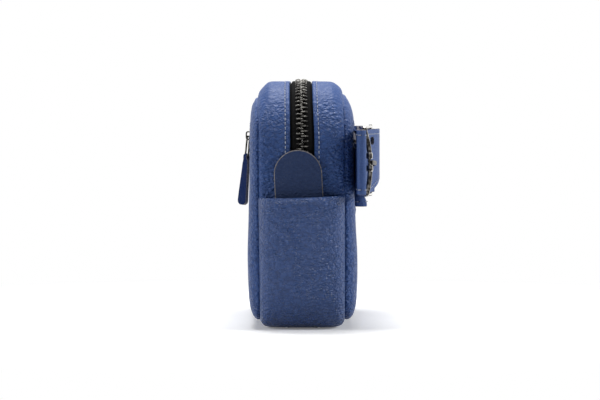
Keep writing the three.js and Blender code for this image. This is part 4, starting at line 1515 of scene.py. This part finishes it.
# each slider's depth of skirt, swing of its bridge, and droop and twist of its pull; the
# main one is parked at a turn round the far corner, the front one short of its near end
sliders = {
    "main": {"skirt": 1.7, "swing": 180, "droop": 2.5, "twist": 0, "turn": -170.5, "aside": 0.5},
    "front": {"skirt": 1.4, "swing": 90, "droop": 5, "twist": 30, "fromEnd": 12},
}
corner = bag["topCorner"]
mainParked = (
    Matrix.Translation((corner - bag["half"], sliders["main"]["aside"], bag["height"] - corner))
    @ turned(sliders["main"]["turn"], "Y")
    @ Matrix.Translation((mainZip["proud"] + corner, 0, 0))
    @ turned(90, "Y")
    @ turned(180, "Z")
)
frontX = frontZip["length"] / 2 - sliders["front"]["fromEnd"]
frontFace = frontChain - frontZip["height"] / 2
frontParked = Matrix.Translation((frontX, frontFace, frontZip["centre"])) @ turned(90, "X")
for prefix, zipper, place in (("main", mainZip, mainParked), ("front", frontZip, frontParked)):
    own = sliders[prefix]
    hinge = makeSlider(prefix, zipper, own["skirt"], place, own["swing"])
    makePull(prefix, hinge @ turned(own["droop"], "Y"), own["twist"])
print("belt bag: sliders and pulls made")

# the belt, folded up behind the bag
belt = {
    "width": 41,
    "thick": 1.8,
    "skived": 1.2,
    "middle": 108.1,
    "sag": 9.5,
    "layer": 2.1,  # one thickness and the room beside it
    "room": 0.3,
    "sewn": 28,  # the end that is folded round the bar and sewn back
    "first": 35.7,  # middle of the layer next to the panel
    "second": 39.5,
    "barX": 52,
    "barY": 45.45,
    "behindBar": 0.8,
    "wrap": 2.05,
    "runNear": 58,
    "runFar": 88,
    "foldNear": 113,
    "foldLift": 0.5,
    "foldBulge": 0.75,  # the near fold stays open like a teardrop
    "frontBar": 36,
    "slantStart": 17,
    "slantRise": 9,
    "past": 8,
    "tailPlaces": 60,
    "flare": 2.6,  # how far the lower edge of the inner fold spreads out
    "flareTop": 88.6,
    "flareSpan": 9,
    "stitchInset": 3,
    "rimBow": 0.28,
    "fray": 0.06,
    "fraySize": 2.2,
}
beltStitch = {"pitch": 3.2, "length": 2.1, "thread": 0.3, "rise": 0.26, "sink": 0.14, "hole": 0.5}


def easedLine(knots, xs, window):
    # heights of a bent line at each place, with its bends rounded off
    ordered = sorted(knots)

    def level(x):
        if x <= ordered[0][0]:
            return ordered[0][1]
        for (x0, y0), (x1, y1) in zip(ordered, ordered[1:]):
            if x <= x1:
                return y0 + (y1 - y0) * (x - x0) / (x1 - x0)
        return ordered[-1][1]

    return [sum(level(x + d) for d in spread(-window, window, 9)) / 9 for x in xs]


def beltRoute():
    # the strap seen from above, from its sewn end round the bar to its tail:
    # place along the bag, depth, sag and thickness
    b = belt
    thick, skived, layer, bar, far = b["thick"], b["skived"], b["layer"], b["barX"], -b["runFar"]
    first, second, near = b["first"], b["second"], b["runNear"]
    third = second + layer
    buckleRun = b["barY"] - b["behindBar"]
    sewn = buckleRun + (thick + skived) / 2 + b["room"]
    tail = b["barY"] + b["wrap"] + (skived + thick) / 2 + b["room"]
    fold = first + b["foldLift"]
    foldTop = fold + layer + 2 * b["foldLift"]
    route = []

    def bend(cx, cy, radius, start, end, count, sag=0, thick=thick):
        for degrees in spread(start, end, count):
            turn = math.radians(degrees)
            route.append((cx + radius * math.cos(turn), cy + radius * math.sin(turn), sag, thick))

    def straight(start, end, count, depth, past):
        # the strap sags more and more towards the near inner fold
        for x in spread(start, end, count):
            share = (x - far - past) / (near - far - past)
            route.append((x, depth, b["sag"] * share, thick))

    def follow(start, end, count, knots, window):
        xs = spread(start, end, count)
        route.extend((x, y, 0, thick) for x, y in zip(xs, easedLine(knots, xs, window)))

    route += [(x, sewn, 0, skived) for x in spread(bar - b["sewn"], bar - 2, 14)]
    bend(bar, b["barY"], b["wrap"], 100, -80, 16, thick=skived)
    under = b["barY"] - b["wrap"]
    knots = [(bar, under), (bar - 8, under + 0.1), (bar - 13, buckleRun), (far, buckleRun)]
    xs = spread(bar - 1.5, far + 2, 70)
    for x, y in zip(xs, easedLine(knots, xs, 1.2)):
        route.append((x, y, 0, skived + (thick - skived) * smoothStep((bar - 8 - x) / 5)))
    # far fold, the layer next to the panel, near inner fold, and back again
    reach = (buckleRun - first) / 2
    bend(far, first + reach, reach, 90, 270, 25)
    straight(far + 3, near - 3, 70, first, 0)
    reach = (second - first) / 2
    bend(near, first + reach, reach, -90, 90, 17, b["sag"])
    straight(near - 3, far + 7, 70, second, 4)
    bend(far + 4, second + layer / 2, layer / 2, 270, 90, 13)
    # over the folds to the near outer fold, and back over the buckle's front bar
    bulge, foldNear = b["foldBulge"], b["foldNear"]
    knots = [(far, third), (62, third), (67, third - 0.4), (82, fold + 0.6), (90, fold)]
    knots.append((foldNear - 1, fold + bulge / 2))
    follow(far + 6, foldNear - 1, 100, knots, 2.4)
    reach = (foldTop - fold) / 2 + bulge / 2
    bend(foldNear, fold + bulge / 2 + reach, reach, -80, 80, 19)
    front = bar + b["frontBar"]
    knots = [(foldNear, fold + bulge / 2 + 2 * reach), (front + 1, foldTop + 0.1)]
    knots += [(front - 2.5, foldTop), (bar + 4, tail - 0.3), (bar, tail + 0.5)]
    knots.append((bar - b["past"], tail + 1.5))
    follow(foldNear - 1, bar - b["past"], b["tailPlaces"], knots, 2.6)
    return route


def beltFrames():
    # place, direction, sideways normal, lower and upper edge, thickness and distance gone by
    route = beltRoute()
    frames = []
    distance = 0
    spots = [Vector((x, y, 0)) for x, y, _, _ in route]
    tailStart = len(route) - belt["tailPlaces"]
    for i, (x, _, sag, thick) in enumerate(route):
        before, after = spots[max(0, i - 1)], spots[min(len(spots) - 1, i + 1)]
        along = (after - before).normalized()
        if i:
            distance += (spots[i] - spots[i - 1]).length
        low = belt["middle"] - belt["width"] / 2 - sag
        high = low + belt["width"]
        if i >= tailStart:
            start = belt["barX"] + belt["slantStart"]
            run = belt["slantStart"] + belt["past"] + 1
            low += belt["slantRise"] * clamp((start - x) / run)
        normal = Vector((-along.y, along.x, 0))
        frames.append((spots[i], along, normal, low, high, thick, distance))
    return frames


beltSpots = beltFrames()
print("belt bag: the belt is", round(beltSpots[-1][6]), "mm long")


def beltPoint(index, height, side):
    # a point on the strap's face at one height, with the fold's lower edge spread out
    spot, _, normal, _, _, thick, _ = beltSpots[index]
    first, second, near = belt["first"], belt["second"], belt["runNear"]
    out = Vector((spot.x, spot.y, height)) + normal * side * thick / 2
    if abs(spot.x - near) < 14 and first + 0.8 < spot.y < second + 0.3:
        reach = smoothStep((spot.x - near + 12) / 13)
        depth = smoothStep((belt["flareTop"] - height) / belt["flareSpan"])
        out.y += belt["flare"] * reach * depth * smoothStep((spot.y - first) / (second - first))
    return out


def makeBelt():
    # places across the strap, closer together at its edges
    half = [0, 0.006, 0.03, 0.08, 0.16, 0.26, 0.37, 0.5]
    heights = half + [0.63, 0.74, 0.84, 0.92, 0.97, 0.994, 1]
    rimPlaces = (0.12, 0.3, 0.5, 0.7, 0.88)

    def rim(first, second, up, distance):
        made = []
        for t in rimPlaces:
            bow = belt["rimBow"] * math.sqrt(1 - (2 * t - 1) ** 2)
            fray = belt["fray"] * waver(Vector((distance, up * 9, t)), belt["fraySize"])
            made.append(first.lerp(second, t) + Vector((0, 0, up * (bow + fray))))
        return made

    loops = []
    for i, (_, _, _, low, high, _, distance) in enumerate(beltSpots):
        places = [low + (high - low) * h for h in heights]
        face, back = ([beltPoint(i, place, side) for place in places] for side in (1, -1))
        loop = face + rim(face[-1], back[-1], 1, distance) + list(reversed(back))
        loops.append(loop + rim(back[0], face[0], -1, distance))
    side, rims = len(heights) - 1, len(rimPlaces) + 1
    points, faces, slots = loftLoops(loops, [0] * side + [1] * rims + [2] * side + [1] * rims)
    looks = ("strap", "strapEdge", "strap")
    more = {"node": "belt_strap", "slot": "belt_leather", "sharp": 60}
    return makePiece("beltStrap", points, faces, looks, slots, **more)


# the tail's oval holes and the slot in which the prong turns; a size is a length and a height
strapHoles = {"fromBar": 14.5, "rows": (-2, 13.1), "size": (8.4, 5.2), "depth": 2.2}
strapHoles.update(slotSize=(9, 4.6), slotDepth=3.2, slotPlace=(1.6, 0.4, 0))


def makeHoles(strap):
    h = strapHoles
    place = belt["barX"] + h["fromBar"]
    tail = beltSpots[-belt["tailPlaces"] :]
    spot, along, normal, *_ = min(tail, key=lambda s: abs(s[0].x - place))
    cutters = []
    for row in h["rows"]:
        centre = Vector((spot.x, spot.y, belt["middle"] + row))
        cutters.append(ovalCutter(centre, along, normal, h["size"], h["depth"]))
    bar = Vector((belt["barX"], belt["barY"], belt["middle"] + h["rows"][0]))
    axes = (Vector((1, 0, 0)), Vector((0, -1, 0)))
    slot = ovalCutter(bar + Vector(h["slotPlace"]), *axes, h["slotSize"], h["slotDepth"])
    punched(strap, cutters + [slot])


def beltStitchAt(distance, index, edge, side):
    # a stitch on one face of the strap, between the strap's places index and index + 1
    marks = [beltSpots[i][6] for i in (index, index + 1)]
    share = (distance - marks[0]) / (marks[1] - marks[0])
    ends = []
    for i in (index, index + 1):
        _, _, normal, low, high, _, _ = beltSpots[i]
        height = high - belt["stitchInset"] if edge else low + belt["stitchInset"]
        ends.append((beltPoint(i, height, side), normal * side))
    (first, firstNormal), (second, secondNormal) = ends
    normal = firstNormal.lerp(secondNormal, share).normalized()
    return first.lerp(second, share), (second - first).normalized(), normal


def makeBeltStitches():
    spots = []
    for side in (-1, 1):
        for edge in (0, 1):
            index = 0
            distance = 4
            while distance < beltSpots[-1][6] - 3:
                while beltSpots[index + 1][6] < distance:
                    index += 1
                spots.append(beltStitchAt(distance, index, edge, side))
                distance += beltStitch["pitch"]
    stitchRow("beltStitches", spots, beltStitch, slot="belt_leather")


makeHoles(makeBelt())
makeBeltStitches()
print("belt bag: belt made")

# belt loops, sewn to the back panel above and below the belt
loopLook = {
    "width": 18,
    "thick": 1.0,
    "place": 40,
    "room": 51,
    "foot": 5.4,
    "ease": 3,
    "clear": 0.3,  # of the belt
    "endBow": 2.2,
    "sunk": 0.15,
    "unevenness": 0.07,
    "unevenSize": 6,
}
loopStitch = {"pitch": 2.6, "length": 1.8, "thread": 0.24, "rise": 0.28, "sink": 0.12, "hole": 0.34}
loopStitch["rows"] = (1.6, 1.8)  # from the foot's bend and from its end
loopStitch["fromSide"] = 1.9


def makeLoop(name, x, node):
    look = loopLook
    panel = surfaceOf(backPanel)
    wide, thick, foot = look["width"], look["thick"], look["foot"]
    stand = belt["second"] - belt["thick"] / 2 - look["clear"] - thick / 2
    middle = belt["middle"] - belt["sag"] / 2
    half = look["room"] / 2

    def faceAt(a, z):
        # the loop's outer face: sewn flat to the panel at its feet, clear of it between them
        hit = panel.ray_cast(Vector((a, 90, z)), Vector((0, -1, 0)))[0]
        sewn = smoothStep((abs(z - middle) - half + look["ease"]) / look["ease"])
        return stand + thick / 2 + (hit.y + thick - look["sunk"] - stand - thick / 2) * sewn

    rows = []
    step = 0.3  # for the slope of the face
    for z in spread(middle - half - foot, middle + half + foot, 90):
        row = []
        for a in spread(-wide / 2, wide / 2, 15):
            end = look["endBow"] * (a / wide) ** 2 * (1 if z < middle else -1)
            height = z + end * smoothStep((abs(z - middle) - half) / foot)
            rise = faceAt(x + a, height + step) - faceAt(x + a, height - step)
            normal = Vector((0, 1, -rise / (2 * step))).normalized()
            lift = look["unevenness"] * waver(Vector((a, z, x)), look["unevenSize"], 2)
            row.append((Vector((x + a, faceAt(x + a, height) + lift, height)), normal))
        rows.append(row)
    more = {"node": node, "slot": "belt_leather", "sharp": 60}
    sheetPiece(name, rows, thick, 0.25, ("strap",) * 3, **more)

    # a box of stitches round each foot
    spots = []
    up, side, out = Vector((0, 0, 1)), Vector((1, 0, 0)), Vector((0, 1, 0))
    reach = wide / 2 - loopStitch["fromSide"]
    bendRow, endRow = loopStitch["rows"]
    for sign in (-1, 1):
        near, far = middle + sign * (half + bendRow), middle + sign * (half + foot - endRow)
        steps = int(2 * reach / loopStitch["pitch"])
        for z in (near, far):
            for i in range(steps):
                a = x - reach + (i + 0.5) * 2 * reach / steps
                spots.append((Vector((a, faceAt(a, z), z)), side, out))
        steps = max(1, int(abs(far - near) / loopStitch["pitch"]))
        for a in (x - reach, x + reach):
            for i in range(steps):
                z = near + (i + 0.5) * (far - near) / steps
                spots.append((Vector((a, faceAt(a, z), z)), up, out))
    stitchRow(name + "Stitches", spots, loopStitch, slot="belt_leather")


makeLoop("nearBeltLoop", loopLook["place"], "near_belt_loop")
makeLoop("farBeltLoop", -loopLook["place"], "far_belt_loop")
print("belt bag: belt loops made")

# buckle and prong
buckle = {
    "reach": 36,
    "height": 46.6,
    "thick": 2.4,
    "rail": 2.1,
    "slim": 0.4,  # how much thinner the rails are halfway
    "drawIn": 0.5,
    "bar": 1.15,
    "barPast": 0.15,
    "bow": 3.6,  # how far the middle of the front bar stands out from its ends
    "setBack": 1.0,
    "skew": 0.9,  # its lower end stands further out than its upper end
    "swell": 0.35,  # how much stouter the front bar is than the rails
    "rest": 0.42,  # depth of the hollow where the prong lies
    "restHalf": 2.9,
    "restOver": 1.2,
    "frontFrom": 3,  # where the front bar starts, before the reach
    "bowFrom": 16,
    "frontY": 41.7,
    "corner": 5,
    "lugRadius": 2.25,
    "lugLength": 4.0,
    "lugMiddle": -0.3,
    "lugApart": 8.1,
    "lugPlace": (0.2, -0.3),  # from the front bar's middle, out and across
    "lugEnd": 0.82,
    "barEnd": 0.7,
    "barChamfer": 0.35,
}
prong = {
    "width": 3.2,
    "thick": 1.6,
    "taper": 0.12,
    "roundFrom": 0.93,  # where its tip starts to round off
    "tipWidth": 0.45,
    "tipHeight": 0.4,
    "tipLeast": 0.03,
    "rise": 1.4,  # towards its tip
    "riseFrom": 12,
    "riseOver": 24,
    "rest": 0.1,  # room over the front bar
    "drop": 2,  # below the strap's middle, in line with its hole
    "from": 2.2,
    "to": 36.9,
    "eyeGap": 0.25,
    "eyeWall": 0.5,
    "knots": [(2.2, -0.9), (9.5, -1.5), (13, -0.4), (18.5, 2.2), (23, 2.9), (30, 1.6)],
}


def ended(radius, share, count, power):
    # a round section that narrows at both ends of its bar
    def section(t):
        size = radius * (share if t in (0, 1) else 1)
        return rounded(size, size, count, power)

    return section


def frontBar(z):
    # how far the front bar stands out of the frame's plane at a height
    half = buckle["height"] / 2
    return buckle["bow"] * (1 - (z / half) ** 2) - buckle["setBack"] - buckle["skew"] * z / half


def makeBuckle():
    k = buckle
    half = k["height"] / 2 - k["rail"] / 2
    reach, corner, radius = k["reach"], k["corner"], k["lugRadius"]
    slope = turned(math.degrees(math.atan2(k["frontY"] - belt["barY"], reach)), "Z")
    here = Matrix.Translation((belt["barX"], belt["barY"], belt["middle"])) @ slope
    spin = here.to_3x3()
    marks = [(-1.2, -half), (reach * 0.4, -half), (reach - corner, -half), (reach, -half)]
    marks += [(reach, corner - half), (reach, 0), (reach, half - corner), (reach, half)]
    marks += [(reach - corner, half), (reach * 0.4, half), (-1.2, half)]
    path, shape = [], []
    for p in curveRun(*marks, count=36):
        # the rails draw in between the pivot and the front corners, and the front bar is
        # hollowed between its lugs, where the prong rests
        rails = reach - k["frontFrom"]
        slim = math.sin(math.pi * clamp(p.x / rails)) if p.x < rails else 0
        aside = abs(p.y - k["lugMiddle"])
        rest = smoothStep((k["restHalf"] - aside) / k["restOver"]) if p.x > rails else 0
        shape.append((slim, rest, k["swell"] * smoothStep((p.x - reach + 6) / 5)))
        out = frontBar(p.y) * smoothStep((p.x - reach + k["bowFrom"]) / k["bowFrom"])
        inward = spin @ Vector((0, k["drawIn"] * rest, math.copysign(k["drawIn"] * slim, p.y)))
        path.append(here @ Vector((p.x, out, p.y)) - inward)

    def barSection(t):
        slim, rest, stout = shape[round(t * (len(shape) - 1))]
        wide = k["rail"] / 2 * (1 - k["slim"] * slim)
        return rounded(wide, k["thick"] / 2 * (1 + stout) * (1 - k["rest"] * rest), 14, 0.72)

    outward = spin @ Vector((0, 1, 0))
    parts = [sweptBar(path, barSection, outward)]
    end = k["height"] / 2 + k["barPast"]
    inner = end - k["barChamfer"]
    pin = [here @ Vector((0, 0, z)) for z in (-end, -inner, -8, 8, inner, end)]
    parts.append(sweptBar(pin, ended(k["bar"], k["barEnd"], 14, 1), outward))
    past, back = k["lugPlace"]
    for sign in (-1, 1):
        z = k["lugMiddle"] + sign * k["lugApart"] / 2
        places = [z + t * k["lugLength"] / 2 for t in (-1, -0.8, 0, 0.8, 1)]
        lug = [here @ Vector((reach + past, frontBar(z) + back, place)) for place in places]
        parts.append(sweptBar(lug, ended(radius, k["lugEnd"], 16, 0.9), outward))
    more = {"body": "buckle", "node": "buckle_frame", "slot": "buckle_metal", "sharp": 45}
    makePiece("buckleFrame", *merged(parts), ("buckle",), **more)


def makeProng():
    here = Matrix.Translation((belt["barX"], belt["barY"], belt["middle"] - prong["drop"]))
    tip = buckle["frontY"] - belt["barY"] + frontBar(0) + prong["thick"] / 2 + prong["rest"]
    knots = prong["knots"] + [(prong["to"], tip)]
    xs = spread(prong["from"], prong["to"], 60)
    path = []
    for x, y in zip(xs, easedLine(knots, xs, 2.2)):
        rise = prong["rise"] * smoothStep((x - prong["riseFrom"]) / prong["riseOver"])
        path.append(here @ Vector((x, y, rise)))

    def armSection(t):
        wide, high = prong["width"] / 2 * (1 - prong["taper"] * t), prong["thick"] / 2
        past = (t - prong["roundFrom"]) / (1 - prong["roundFrom"])
        if past > 0:
            full = math.sqrt(max(prong["tipLeast"], 1 - past ** 2))
            wide *= prong["tipWidth"] + (1 - prong["tipWidth"]) * full
            high *= prong["tipHeight"] + (1 - prong["tipHeight"]) * full
        return rounded(high, wide, 14, 0.7)

    up = Vector((0, 0, 1))
    wall = prong["eyeWall"]
    radius = buckle["bar"] + prong["eyeGap"] + wall
    ring = [here @ Vector((p.x, p.y, 0)) for p in arcPoints(0, 0, radius, 0, 350, 36)]
    eye = sweptBar(ring, rounded(wall, prong["width"] / 2, 12, 0.6), up, closed=True)
    parts = merged([sweptBar(path, armSection, up), eye])
    more = {"body": "prong", "node": "buckle_prong", "slot": "buckle_metal", "sharp": 45}
    makePiece("buckleProng", *parts, ("prong",), **more)


makeBuckle()
makeProng()
print("belt bag: buckle and prong made")

# what still shows of the frame's own pieces is cloth lining
for name in ("gusset_lining", "front_pocket_pouch"):
    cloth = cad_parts[name]
    cloth.data.materials.clear()
    cloth.data.materials.append(finishes["lining"])

print("belt bag: finished")
